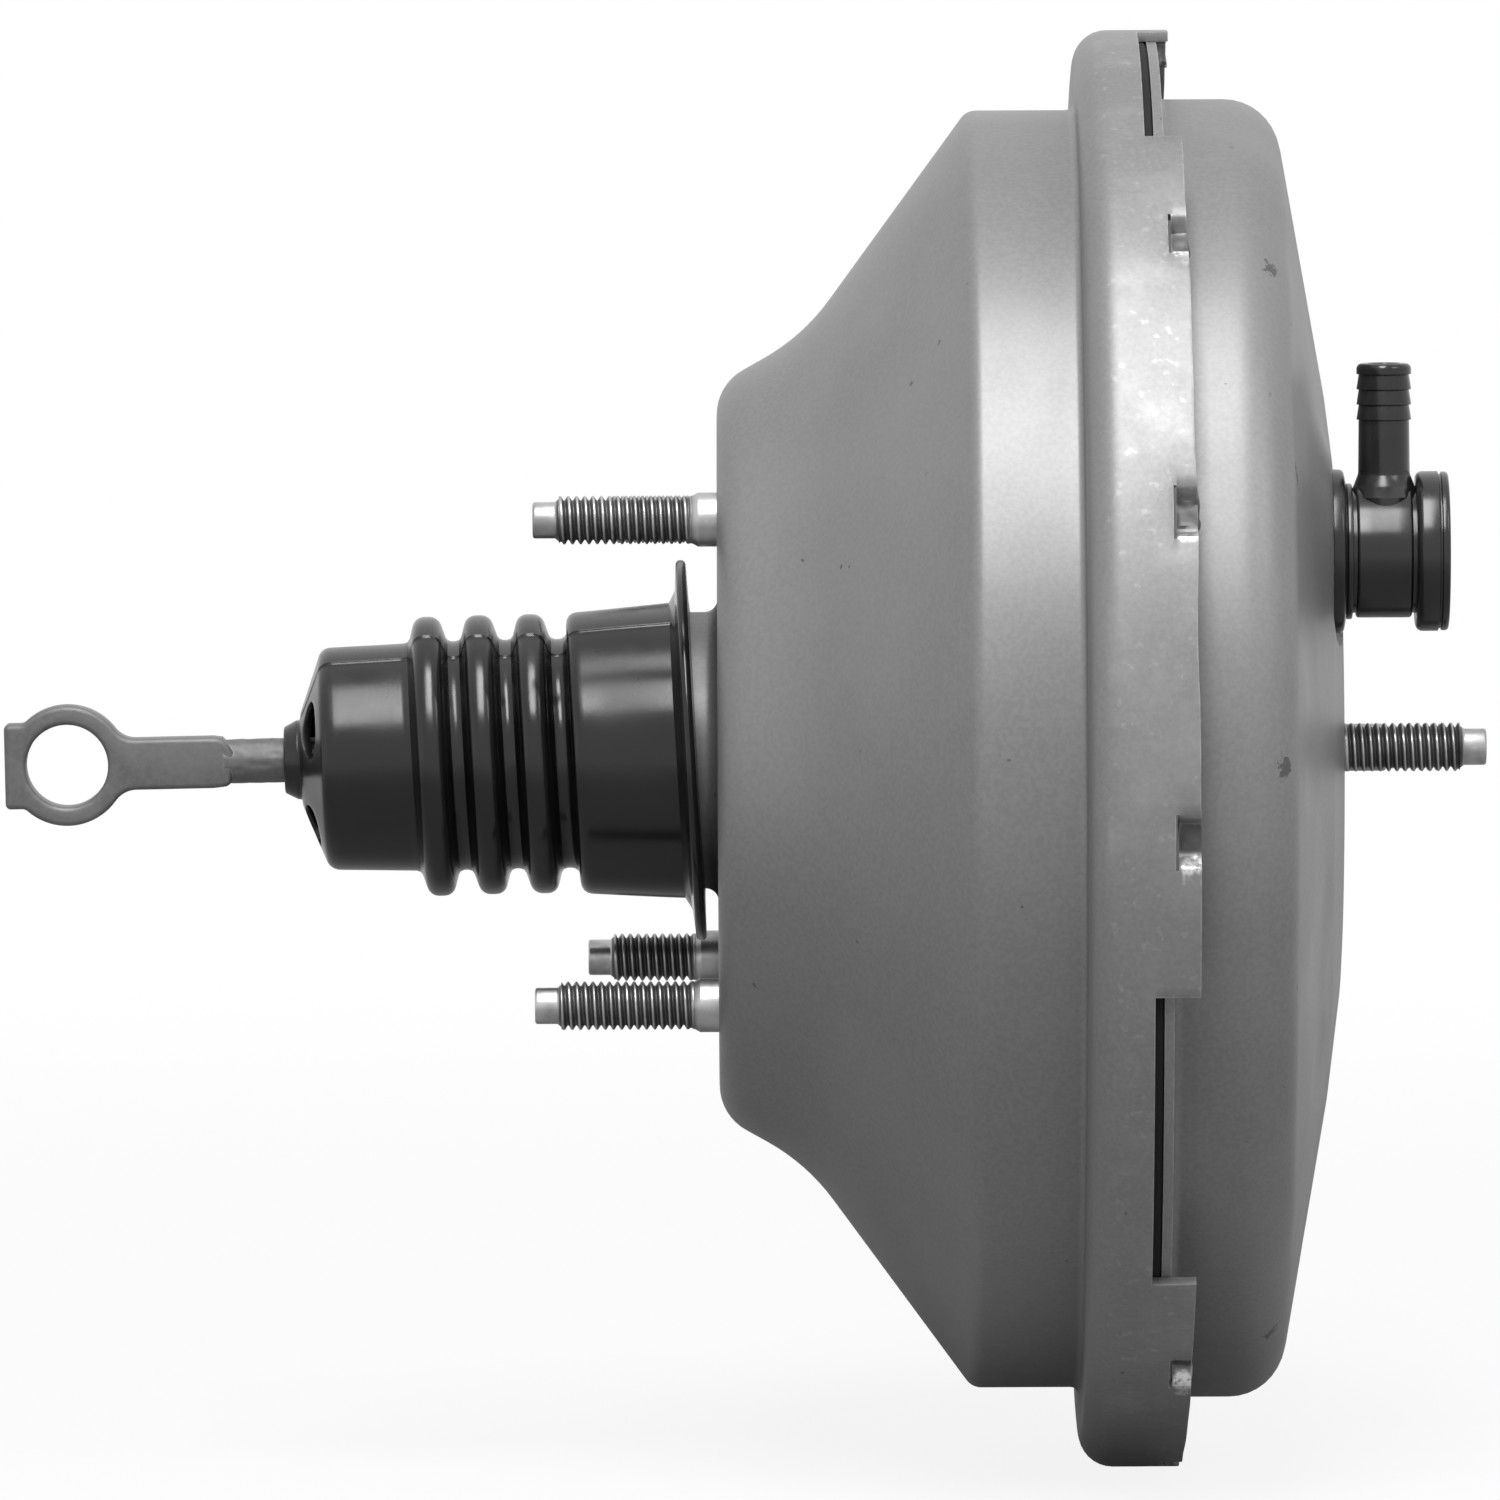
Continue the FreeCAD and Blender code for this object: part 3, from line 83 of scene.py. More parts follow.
# Pressed shells
SHEET = 1.9
NECK_END_X = -18.0
NECK_MOUTH_R = 20.4
NECK_R = 25.4
NECK_ROOT_R = 26.9
FIREWALL_FACE_R = 71.1
FLARE_X = 16.8
FLARE_R = 80.5
DRUM_START_X = 48.8
DRUM_R = 124.2
RIM_START_X = 69.5
RIM_R = 139.7
WALL_END_X = 81.7
FLANGE_FRONT_X = 85.4
SLIT_X = 85.5
SLIT_WIDTH = 0.6
LUG_ROOT_X = 86.2
LUG_END_X = 90.9
STATIONS = 14
STATION_ZERO = 7.3
WINDOWS = (1, 4, 8, 11)
WINDOW_ANGLE = 27.0
CRIMP_LENGTH = 10.6
CRIMP_DEPTH = 3.6
CRIMP_RAMP = 2.9
CRIMP_SPREAD = 1.9
CLOCKING = -3.6
DOME_R = 126.2
DOME_SHOULDER_X = 107.7
PAD_X = 120.2
PAD_R = 50.0
PILOT_R = 19.5
PILOT_FLOOR_X = 108.8
PILOT_BORE_R = 13.5

# Knocks on the front shell's shoulder, in metres
NICKS = (
    (0.1094, -0.1013, 0.0573), (0.1064, -0.1229, 0.0038),
    (0.1051, -0.0785, 0.096), (0.1055, -0.0596, -0.1085),
)

# Studs
STUD_HEAD_R = 6.8
STUD_HEAD_LENGTH = 2.8
STUD_THROUGH = 4.4
STUD_R = 4.7
THREAD_PITCH = 1.5875
THREAD_DEPTH = 0.86
COLLAR_R = 5.2
COLLAR_LENGTH = 3.6
DOG_R = 3.5
DOG_LENGTH = 4.3
STUD_CHAMFER = 1.2
ROW_SPACING = 76.0
NEAR_STUDS = (93.6, 35.4)
FAR_STUDS = (86.4, 25.8)
FRONT_STUDS = (84.6, 27.4)

# Input rod: places along it are from the centre of its ball
BALL_X = 2.0
BALL_R = 5.0
ROD_DROOP = 1.03
ROD_R = 4.5
ROD_NECK_R = 3.4
ROD_NECK_LENGTH = 14.0
BAR_END = 97.0
BAR_HEIGHT = 9.9
BAR_THICKNESS = 8.4
EYE_X = 128.7
EYE_R = 11.7
EYE_BORE_R = 8.0
EYE_THICKNESS = 8.2
EYE_FILLET = 5.0
EYE_TIP = 12.1
EYE_TIP_HEIGHT = 16.5
EYE_TIP_FILLET = 1.6
EYE_TIP_ROUND = 1.0

# Output rod
OUTPUT_HEAD = 4.0
OUTPUT_R = 6.0
OUTPUT_NOSE_R = 4.6
OUTPUT_SOCKET_R = 3.1
OUTPUT_SOCKET_DEPTH = 16.0

# Check valve: its place across the front shell, then stations along the booster's axis
VALVE_Y = -52.54
VALVE_Z = 40.88
VALVE_SEAT_X = 117.5
VALVE_SEAT_R = 16.2
VALVE_BOSS_R = 18.1
VALVE_BOSS_FALL = 6.0 / 14.0
GROMMET_BORE_R = 11.2
VALVE_STEM_R = 8.4
VALVE_CAP_X = 133.6
NIPPLE_X = 127.7
NIPPLE_R = 4.85
NIPPLE_BORE_R = 3.1
NIPPLE_END = 36.0
BARBS = 4
BARB_R = 5.25
BARB_PITCH = 2.9
LAST_BARB = 33.8

# Dust boot: it falls by BOOT_FALL degrees towards its tip, and its folds lean by BOOT_LEAN
BOOT_WALL = 1.6
BOOT_TIP_X = -84.4
BOOT_FLANGE_X = -6.9
BOOT_FLANGE_R = 37.0
BOOT_FALL = 1.15
BOOT_LEAN = 3.0
BOOT_FOLDS = 3
BOOT_FOLD_X = -58.3
BOOT_FOLD_PITCH = 10.05
BOOT_VALLEY_R = 22.3
BOOT_CREST_R = 27.2
BOOT_GROOVE_X = -59.0
BOOT_SEAMS = (28.0, 208.0)

# Vents in the boot's nose: ovals on the cone between its tip and its barrel
BOOT_VENTS = (63.0, 153.0, 243.0, 333.0)
VENT_R = 14.2
VENT_HALF_WIDTH = 3.7
VENT_HALF_ANGLE = 24.0
NOSE_CONE_X = -81.0
NOSE_CONE_R = 9.2
NOSE_CONE_RISE = 4.7
NOSE_CONE_RUN = 12.4

# Diaphragm
DIAPHRAGM_R = 119.9
DIAPHRAGM_LIP_R = 28.2
BEAD_R = 137.6
BEAD_INNER_R = 124.6
BEAD_END_X = 83.4

# Studio, in metres, watts and degrees
FLOOR_Z = cad_box[0][2]
FLOOR_REACH = 30.0
FLOOR_FADE = (0.3, 1.3)
FILL_LIGHT = 0.16
CAMERA_TARGET = (0.0062, 0, 0)
CAMERA_DISTANCE = 3.2
CAMERA_RISE = 3.6
CAMERA_ROLL = -0.26
CAMERA_LENS = 394.5
CAMERA_SENSOR = 36.0


# Mesh helpers
def rounded(corners, steps=6):
    """Open outline through (x, r) or (x, r, corner radius), with each corner as an arc."""
    spots = []
    for i, corner in enumerate(corners):
        here = Vector(corner[:2])
        if len(corner) < 3 or i in (0, len(corners) - 1):
            spots.append(here)
            continue
        back = (Vector(corners[i - 1][:2]) - here).normalized()
        ahead = (Vector(corners[i + 1][:2]) - here).normalized()
        half = back.angle(ahead) / 2
        centre = here + (back + ahead).normalized() * (corner[2] / math.sin(half))
        arm = here + back * (corner[2] / math.tan(half)) - centre
        side = 1 if back.x * ahead.y - back.y * ahead.x < 0 else -1
        sweep = side * (math.pi - 2 * half)
        for step in range(steps + 1):
            spots.append(centre + Matrix.Rotation(sweep * step / steps, 2) @ arm)
    return [(spot.x, spot.y) for spot in spots]


def divided(spots, longest):
    """The same outline with its long runs cut into shorter ones."""
    result = [spots[0]]
    for a, b in zip(spots, spots[1:]):
        count = max(1, math.ceil(math.dist(a, b) / longest))
        for k in range(1, count + 1):
            result.append(tuple(p + (q - p) * k / count for p, q in zip(a, b)))
    return result


def about_axis(x, r, angle):
    """A place from its station, radius and angle, in metres."""
    turn = math.radians(angle)
    return Vector((x, -r * math.sin(turn), r * math.cos(turn))) * MM


def node_ends(name):
    """First and last station of a CAD node, in millimetres."""
    low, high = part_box(name)
    return low[0] / MM, high[0] / MM


def even_angles(count):
    return [360.0 * k / count for k in range(count)]


def turn_from(middle, angle):
    """Signed turn from one angle to another, from -180 to 180."""
    return (angle - middle + 180) % 360 - 180


def ring_place(angle, radius=1.0):
    """Cosine and sine of an angle, times a radius."""
    turn = math.radians(angle)
    return math.cos(turn) * radius, math.sin(turn) * radius


def turned_skin(spots, angles, missing=None, move=None):
    """Surface of revolution as a bmesh; missing() leaves cells out and move() shifts its places."""
    bm = bmesh.new()
    rows = []
    for x, r in spots:
        row = []
        for angle in angles:
            place = move(x, r, angle) if move else (x, r)
            row.append(bm.verts.new(about_axis(place[0], place[1], angle)))
        rows.append(row)
    count = len(angles)
    for i in range(len(spots) - 1):
        for j in range(count):
            k = (j + 1) % count
            if missing:
                width = (angles[k] - angles[j]) % 360
                if missing((spots[i][0] + spots[i + 1][0]) / 2, (angles[j] + width / 2) % 360, i):
                    continue
            corners = [rows[i][j], rows[i][k], rows[i + 1][k], rows[i + 1][j]]
            if spots[i][1] < 1e-6:
                corners = [rows[i][0], rows[i + 1][k], rows[i + 1][j]]
            elif spots[i + 1][1] < 1e-6:
                corners = [rows[i][j], rows[i][k], rows[i + 1][0]]
            bm.faces.new(corners)
    bmesh.ops.delete(bm, geom=[v for v in bm.verts if not v.link_faces], context="VERTS")
    return bm


def finished(name, bm, modifiers=(), sharp=35.0):
    """Object from a bmesh, with its modifiers applied, smooth faces and sharp creases."""
    bmesh.ops.recalc_face_normals(bm, faces=bm.faces)
    mesh = bpy.data.meshes.new(name)
    bm.to_mesh(mesh)
    bm.free()
    piece = bpy.data.objects.new(name, mesh)
    bpy.context.scene.collection.objects.link(piece)
    for kind, values in modifiers:
        modifier = piece.modifiers.new(kind.title(), kind)
        for key, value in values.items():
            setattr(modifier, key, value)
    if modifiers:
        bpy.context.view_layer.update()
        made = bpy.data.meshes.new_from_object(piece.evaluated_get(bpy.context.evaluated_depsgraph_get()))
        piece.modifiers.clear()
        piece.data = made
        made.name = name
        bpy.data.meshes.remove(mesh)
    piece.data.shade_smooth()
    piece.data.set_sharp_from_angle(angle=math.radians(sharp))
    return piece


def turning(name, spots, count, sharp=50.0, move=None):
    """Object turned from an outline, at an even count of angles."""
    return finished(name, turned_skin(spots, even_angles(count), None, move), (), sharp)


def soft_edges(width, segments=2, angle=35.0):
    """Rounding of every edge sharper than an angle."""
    return (
        "BEVEL",
        {
            "width": width * MM,
            "segments": segments,
            "limit_method": "ANGLE",
            "angle_limit": math.radians(angle),
            "miter_outer": "MITER_ARC",
            "use_clamp_overlap": True,
        },
    )


def hole(cutter):
    """Opening in the shape of another piece."""
    return ("BOOLEAN", {"operation": "DIFFERENCE", "solver": "EXACT", "object": cutter})


def sheet_metal(thickness):
    """Wall that grows to the inner side of the outline."""
    return ("SOLIDIFY", {"thickness": thickness * MM, "offset": -1.0, "use_even_offset": True})


def prism(outline, half_width):
    """Flat block as a bmesh, from an outline in (x, z) and half its width along Y."""
    bm = bmesh.new()
    near, far = [
        [bm.verts.new(Vector((x, y, z)) * MM) for x, z in outline]
        for y in (-half_width, half_width)
    ]
    bm.faces.new(near)
    bm.faces.new(far[::-1])
    for i in range(len(outline)):
        k = (i + 1) % len(outline)
        bm.faces.new((near[i], far[i], far[k], near[k]))
    return bm


def joined(name, pieces, sharp=35.0):
    """One object from several."""
    bm = bmesh.new()
    for piece in pieces:
        piece.data.transform(piece.matrix_world)
        bm.from_mesh(piece.data)
        bpy.data.objects.remove(piece)
    return finished(name, bm, (), sharp)


def clamped(value, low=0.0, high=1.0):
    return min(high, max(low, value))


def eased(value):
    """Smooth rise from 0 to 1 over the same range."""
    t = clamped(value)
    return t * t * (3 - 2 * t)


# Shader helpers
class Shader:
    """Short way to write a node tree; all calls but add() and feed() return an output."""

    def __init__(self, tree):
        self.tree = tree

    def feed(self, value, socket):
        """Link an output to a socket, or set the socket to a plain value."""
        if isinstance(value, bpy.types.NodeSocket):
            self.tree.links.new(value, socket)
        else:
            socket.default_value = value

    def add(self, kind, settings=None, **inputs):
        """Any node; n0 means its first input, and other inputs go by their label."""
        node = self.tree.nodes.new(kind)
        for key, value in (settings or {}).items():
            setattr(node, key, value)
        for key, value in inputs.items():
            label = int(key[1:]) if key.startswith("n") else key.replace("_", " ")
            self.feed(value, node.inputs[label])
        return node

    def maths(self, operation, *values):
        node = self.add("ShaderNodeMath", {"operation": operation})
        for socket, value in zip(node.inputs, values):
            self.feed(value, socket)
        return node.outputs[0]

    def times(self, a, b):
        return self.maths("MULTIPLY", a, b)

    def line(self, value, slope, start):
        """start + slope * value"""
        return self.maths("MULTIPLY_ADD", value, slope, start)

    def mix(self, factor, a, b):
        node = self.add("ShaderNodeMix", {"data_type": "RGBA"}, n0=factor)
        colours = [s for s in node.inputs if s.type == "RGBA"]
        self.feed(a, colours[0])
        self.feed(b, colours[1])
        return [s for s in node.outputs if s.type == "RGBA"][0]

    def step(self, value, low, high):
        """0 up to low and 1 from high on, smooth between; low may be the greater."""
        smooth = {"interpolation_type": "SMOOTHSTEP"}
        return self.add("ShaderNodeMapRange", smooth, Value=value, From_Min=low, From_Max=high).outputs[0]

    def noise(self, place, scale, detail=3.0, roughness=0.5):
        inputs = {"Vector": place, "Scale": scale, "Detail": detail, "Roughness": roughness}
        return self.add("ShaderNodeTexNoise", **inputs).outputs[0]

    def places(self):
        return self.add("ShaderNodeTexCoord").outputs["Object"]

    def radius(self, place):
        """Distance from the booster's axis, in metres."""
        parts = self.add("ShaderNodeSeparateXYZ", Vector=place).outputs
        squares = [self.maths("POWER", parts[axis], 2.0) for axis in ("Y", "Z")]
        return self.maths("SQRT", self.maths("ADD", *squares))

    def seen(self, light):
        """1 for what is seen directly, in a reflection or through glass."""
        other = self.maths("MAXIMUM", light["Is Glossy Ray"], light["Is Transmission Ray"])
        return self.maths("MAXIMUM", light["Is Camera Ray"], other)


def grey(value, warmth=0.0):
    return (value * (1 + warmth), value, value * (1 - warmth), 1.0)


def shader_group(name, inputs, outputs):
    """Empty node group with named float inputs and outputs."""
    tree = bpy.data.node_groups.new(name, "ShaderNodeTree")
    for label, value in inputs:
        socket = tree.interface.new_socket(label, in_out="INPUT", socket_type="NodeSocketFloat")
        socket.default_value = value
    for label in outputs:
        tree.interface.new_socket(label, in_out="OUTPUT", socket_type="NodeSocketFloat")
    start = tree.nodes.new("NodeGroupInput")
    end = tree.nodes.new("NodeGroupOutput")
    return Shader(tree), start.outputs, end.inputs


def use_group(shader, tree, **inputs):
    return shader.add("ShaderNodeGroup", {"node_tree": tree}, **inputs).outputs


def make_grain():
    """Fine blasted grain with broader patches; both run from 0 to 1."""
    scales = [("Grain Scale", 900.0), ("Patch Scale", 28.0)]
    s, given, out = shader_group("Sheet grain", scales, ["Grain", "Patches"])
    place = s.places()
    s.feed(s.noise(place, given["Grain Scale"], 2.0, 0.6), out["Grain"])
    broad = s.noise(place, given["Patch Scale"], 4.0, 0.55)
    s.feed(s.step(broad, 0.32, 0.68), out["Patches"])
    return s.tree


def make_edge_wear():
    """Mask of the edges, broken up by noise."""
    s, given, out = shader_group("Edge wear", [("Width", 0.0006), ("Breakup", 260.0)], ["Wear"])
    flat = s.add("ShaderNodeNewGeometry").outputs["Normal"]
    bevel = s.add("ShaderNodeBevel", {"samples": 6})
    s.feed(given["Width"], bevel.inputs["Radius"])
    meet = s.add("ShaderNodeVectorMath", {"operation": "DOT_PRODUCT"}, n0=flat, n1=bevel.outputs["Normal"])
    edge = s.step(s.maths("SUBTRACT", 1.0, meet.outputs["Value"]), 0.004, 0.09)
    rough = s.noise(s.places(), given["Breakup"], 3.0, 0.6)
    s.feed(s.times(edge, s.step(rough, 0.3, 0.62)), out["Wear"])
    return s.tree


def make_dust():
    """Mask of the dust that lies on upward faces and in patches."""
    s, given, out = shader_group("Dust", [("Amount", 0.3), ("Patch Scale", 60.0)], ["Dust"])
    normal = s.add("ShaderNodeNewGeometry").outputs["Normal"]
    up = s.add("ShaderNodeSeparateXYZ", Vector=normal).outputs["Z"]
    patches = s.noise(s.places(), given["Patch Scale"], 5.0, 0.65)
    mask = s.times(s.step(up, -0.2, 1.0), s.step(patches, 0.35, 0.75))
    s.feed(s.times(mask, given["Amount"]), out["Dust"])
    return s.tree


GRAIN = make_grain()
EDGE_WEAR = make_edge_wear()
DUST = make_dust()


def new_material(name):
    material = bpy.data.materials.new(name)
    material.use_nodes = True
    shader = Shader(material.node_tree)
    surface = material.node_tree.nodes["Principled BSDF"]
    return material, shader, surface


def relief(shader, surface, height, strength, distance):
    """Bump from a height that runs from 0 to 1; distance is in millimetres."""
    bump = shader.add("ShaderNodeBump", Height=height, Strength=strength, Distance=distance * MM)
    shader.feed(bump.outputs["Normal"], surface.inputs["Normal"])


def metal(
    name, dark, light, rough, metallic, grain_scale=900.0, grain_depth=0.05, wear=0.25, patch_scale=28.0
):
    """Sheet or bar metal: patchy tone, fine grain, brighter worn edges."""
    material, s, surface = new_material(name)
    grain = use_group(s, GRAIN, Grain_Scale=grain_scale, Patch_Scale=patch_scale)
    edges = use_group(s, EDGE_WEAR)["Wear"]
    tone = s.mix(grain["Patches"], grey(dark), grey(light))
    speck = s.step(grain["Grain"], 0.38, 0.62)
    tone = s.mix(s.times(speck, 0.35), tone, grey(light * 1.12))
    worn = s.times(edges, wear)
    tone = s.mix(worn, tone, grey(min(light * 1.7, 0.85)))
    s.feed(tone, surface.inputs["Base Color"])
    surface.inputs["Metallic"].default_value = metallic
    blotch = s.line(grain["Patches"], -0.08, rough + 0.04)
    s.feed(s.line(worn, -0.12, blotch), surface.inputs["Roughness"])
    relief(s, surface, grain["Grain"], 0.5, grain_depth)
    return material


def shell_metal():
    """Satin zinc finish of the shells, with pits, nicks, scuffs on the rim and marks of the crimping, which
    hold painted shade and a painted glint.
    """
    material, s, surface = new_material("zinc_plated_sheet")
    grain = use_group(s, GRAIN, Grain_Scale=1100.0, Patch_Scale=14.0)
    place = s.places()
    speck = s.step(grain["Grain"], 0.36, 0.64)
    tone = s.mix(grain["Patches"], grey(0.215), grey(0.25))
    tone = s.mix(s.times(speck, 0.3), tone, grey(0.31))
    # Pits: small dark specks
    pits = s.step(s.noise(place, 390.0, 2.0, 0.4), 0.765, 0.8)
    tone = s.mix(s.times(pits, 0.7), tone, grey(0.07))
    # Scuffs: small bright marks on the outer wall of the rim
    on_rim = s.step(s.radius(place), (RIM_R - 1.2) * MM, (RIM_R - 0.5) * MM)
    marks = s.step(s.noise(place, 420.0, 3.0, 0.6), 0.6, 0.7)
    smears = s.step(s.noise(place, 60.0, 4.0, 0.65), 0.45, 0.8)
    scuffs = s.line(marks, 0.5, s.times(smears, 0.6))
    scuffs = s.times(on_rim, scuffs)
    tone = s.mix(s.times(scuffs, 0.4), tone, grey(0.5))
    edges = use_group(s, EDGE_WEAR, Width=0.0005)["Wear"]
    tone = s.mix(s.times(edges, 0.5), tone, grey(0.6))
    # Nicks: small dark dents where the dome was knocked, ragged by noise
    nicks = 0.0
    ragged = s.noise(place, 800.0, 3.0, 0.6)
    for nick in NICKS:
        away = s.add("ShaderNodeVectorMath", {"operation": "DISTANCE"}, n0=place, n1=nick).outputs["Value"]
        away = s.maths("ADD", away, s.times(ragged, -0.0075))
        nicks = s.maths("MAXIMUM", nicks, s.step(away, -0.0018, -0.0026))
    tone = s.mix(s.times(nicks, 0.75), tone, grey(0.06))
    # Crimps: painted shade inside, where the shell's mask is below 0; where it is above, streaks of worn
    # metal with a painted glint
    crimp_wear_glint_shade = s.add("ShaderNodeAttribute", {"attribute_name": "bright"}).outputs["Fac"]
    # Painted shade: the pressed-in hollow of each crimp is darkened towards grey 0.07
    painted_shade = s.step(crimp_wear_glint_shade, -0.1, -0.8)
    tone = s.mix(s.times(painted_shade, 0.85), tone, grey(0.07))
    streaks = s.noise(place, 700.0, 2.0, 0.7)
    # Worn streaks on the crimps, painted near white: worn metal and a painted glint
    bare_and_glint = s.times(s.step(crimp_wear_glint_shade, 0.2, 0.7), s.step(streaks, 0.3, 0.55))
    tone = s.mix(s.times(bare_and_glint, 0.85), tone, grey(0.88))
    s.feed(tone, surface.inputs["Base Color"])
    s.feed(s.line(bare_and_glint, 0.2, 0.45), surface.inputs["Metallic"])
    rough = s.line(grain["Patches"], -0.05, 0.5)
    rough = s.line(scuffs, -0.1, rough)
    rough = s.line(bare_and_glint, -0.12, rough)
    s.feed(s.line(edges, -0.1, rough), surface.inputs["Roughness"])
    height = s.line(pits, -1.5, grain["Grain"])
    height = s.line(nicks, -4.0, height)
    relief(s, surface, s.line(bare_and_glint, 2.0, height), 0.45, 0.05)
    return material


def rubber(name, tone, rough):
    """Moulded rubber with a dull bloom and a little dust."""
    material, s, surface = new_material(name)
    grain = use_group(s, GRAIN, Grain_Scale=1400.0, Patch_Scale=40.0)
    bloom = use_group(s, DUST, Amount=0.35)["Dust"]
    colour = s.mix(grain["Patches"], grey(tone * 0.8), grey(tone * 1.3))
    colour = s.mix(bloom, colour, grey(0.04))
    s.feed(colour, surface.inputs["Base Color"])
    surface.inputs["Specular IOR Level"].default_value = 0.5
    # The diaphragm's bead, out in the rim, is dull
    bead = s.step(s.radius(s.places()), 0.118, 0.122)
    spread = s.line(grain["Patches"], 0.1, s.line(bead, 0.7, rough))
    s.feed(s.line(bloom, 0.35, spread), surface.inputs["Roughness"])
    relief(s, surface, grain["Grain"], 0.35, 0.03)
    return material


def plastic(name, dark, light, rough):
    """Moulded plastic with a faint flow pattern."""
    material, s, surface = new_material(name)
    grain = use_group(s, GRAIN, Grain_Scale=800.0, Patch_Scale=70.0)
    edges = use_group(s, EDGE_WEAR, Width=0.0003)["Wear"]
    colour = s.mix(grain["Patches"], dark, light)
    colour = s.mix(s.times(edges, 0.12), colour, grey(min(light[1] * 3 + 0.05, 0.9)))
    s.feed(colour, surface.inputs["Base Color"])
    s.feed(s.line(grain["Patches"], 0.1, rough), surface.inputs["Roughness"])
    relief(s, surface, grain["Grain"], 0.2, 0.02)
    return material


def fibrous(name, dark, light, scale):
    """Open foam or felt: dark pores between light fibres."""
    material, s, surface = new_material(name)
    cells = s.add("ShaderNodeTexVoronoi", {"feature": "DISTANCE_TO_EDGE"}, Vector=s.places(), Scale=scale)
    wall = s.step(cells.outputs["Distance"], 0.02, 0.3)
    s.feed(s.mix(wall, light, dark), surface.inputs["Base Color"])
    surface.inputs["Roughness"].default_value = 0.95
    relief(s, surface, wall, 1.0, 0.4)
    return material


def threaded_steel():
    """Blackened thread whose crests are rubbed bright; each stud holds its own crest mask."""
    material, s, surface = new_material("stud_steel")
    crest = s.add("ShaderNodeAttribute", {"attribute_name": "bright"}).outputs["Fac"]
    grain = use_group(s, GRAIN, Grain_Scale=1300.0, Patch_Scale=160.0)
    patches = s.line(grain["Patches"], 0.5, 0.55)
    rubbed = s.times(s.step(crest, 0.55, 0.95), patches)
    tone = s.mix(grain["Patches"], grey(0.08), grey(0.14))
    tone = s.mix(rubbed, tone, grey(0.5))
    s.feed(tone, surface.inputs["Base Color"])
    s.feed(s.line(rubbed, 0.3, 0.65), surface.inputs["Metallic"])
    s.feed(s.line(rubbed, -0.12, 0.46), surface.inputs["Roughness"])
    relief(s, surface, grain["Grain"], 0.4, 0.03)
    return material


MATERIALS = {
    "zinc_plated_sheet": shell_metal(),
    "plain_steel": metal("plain_steel", dark=0.33, light=0.42, rough=0.42, metallic=0.8),
    "stud_steel": threaded_steel(),
    "spring_steel": metal("spring_steel", dark=0.16, light=0.24, rough=0.36, metallic=0.85, wear=0.1),
    "forged_steel": metal(
        "forged_steel", dark=0.14, light=0.185, rough=0.5, metallic=0.3,
        grain_scale=700.0, grain_depth=0.08, wear=0.45, patch_scale=60.0,
    ),
    "black_rubber": rubber("black_rubber", tone=0.006, rough=0.17),
    "black_nylon": plastic("black_nylon", grey(0.01), grey(0.016), rough=0.16),
    "white_nylon": plastic("white_nylon", grey(0.6, 0.04), grey(0.68, 0.03), rough=0.4),
    "phenolic": plastic("phenolic", (0.05, 0.028, 0.018, 1), (0.09, 0.05, 0.03, 1), rough=0.38),
    "filter_foam": fibrous("filter_foam", grey(0.02), grey(0.1), 520.0),
    "filter_felt": fibrous("filter_felt", (0.3, 0.28, 0.24, 1), (0.55, 0.52, 0.46, 1), 900.0),
}


def dress(piece, slot):
    """Give a piece the finish of one material slot."""
    piece.data.materials.clear()
    piece.data.materials.append(MATERIALS[slot])
    return piece


def dress_cad_nodes():
    """Every CAD node takes the finish of its own slot."""
    for part in frame["record"]["subparts"]:
        node = frame["nodes"][part["node"]]
        for holder in node.material_slots:
            holder.material = MATERIALS[part["material_slot"]]
        if not node.material_slots:
            node.data.materials.append(MATERIALS[part["material_slot"]])


# Rear shell: half a crimp as an angle, then the number and the middle of each station of the rim
HALF_CRIMP = math.degrees(CRIMP_LENGTH / 2 / RIM_R)
RIM_STATIONS = [(k, 90 + STATION_ZERO + k * (360.0 / STATIONS) + CLOCKING) for k in range(STATIONS)]


def rim_angles():
    """Even angles, cleared beside the windows' ends and drawn closer across each crimp."""
    angles = set(round(a, 4) for a in even_angles(240))
    for k, centre in RIM_STATIONS:
        if k in WINDOWS:
            marks = [-WINDOW_ANGLE / 2, WINDOW_ANGLE / 2]
            angles = {a for a in angles if min(abs(turn_from(centre + m, a)) for m in marks) > 0.3}
        else:
            angles = {a for a in angles if abs(turn_from(centre, a)) > HALF_CRIMP * CRIMP_SPREAD + 0.4}
            shares = [-CRIMP_SPREAD, -1.45, -1, -0.88, -0.76, -0.64, -0.5, -0.3, -0.1, 0.1, 0.3]
            shares += [0.42, 0.54, 0.66, 0.78, 0.9, 1, 1.2, 1.45, 1.65, CRIMP_SPREAD]
            marks = [HALF_CRIMP * share for share in shares]
        angles |= {round((centre + m) % 360, 4) for m in marks}
    return sorted(angles)


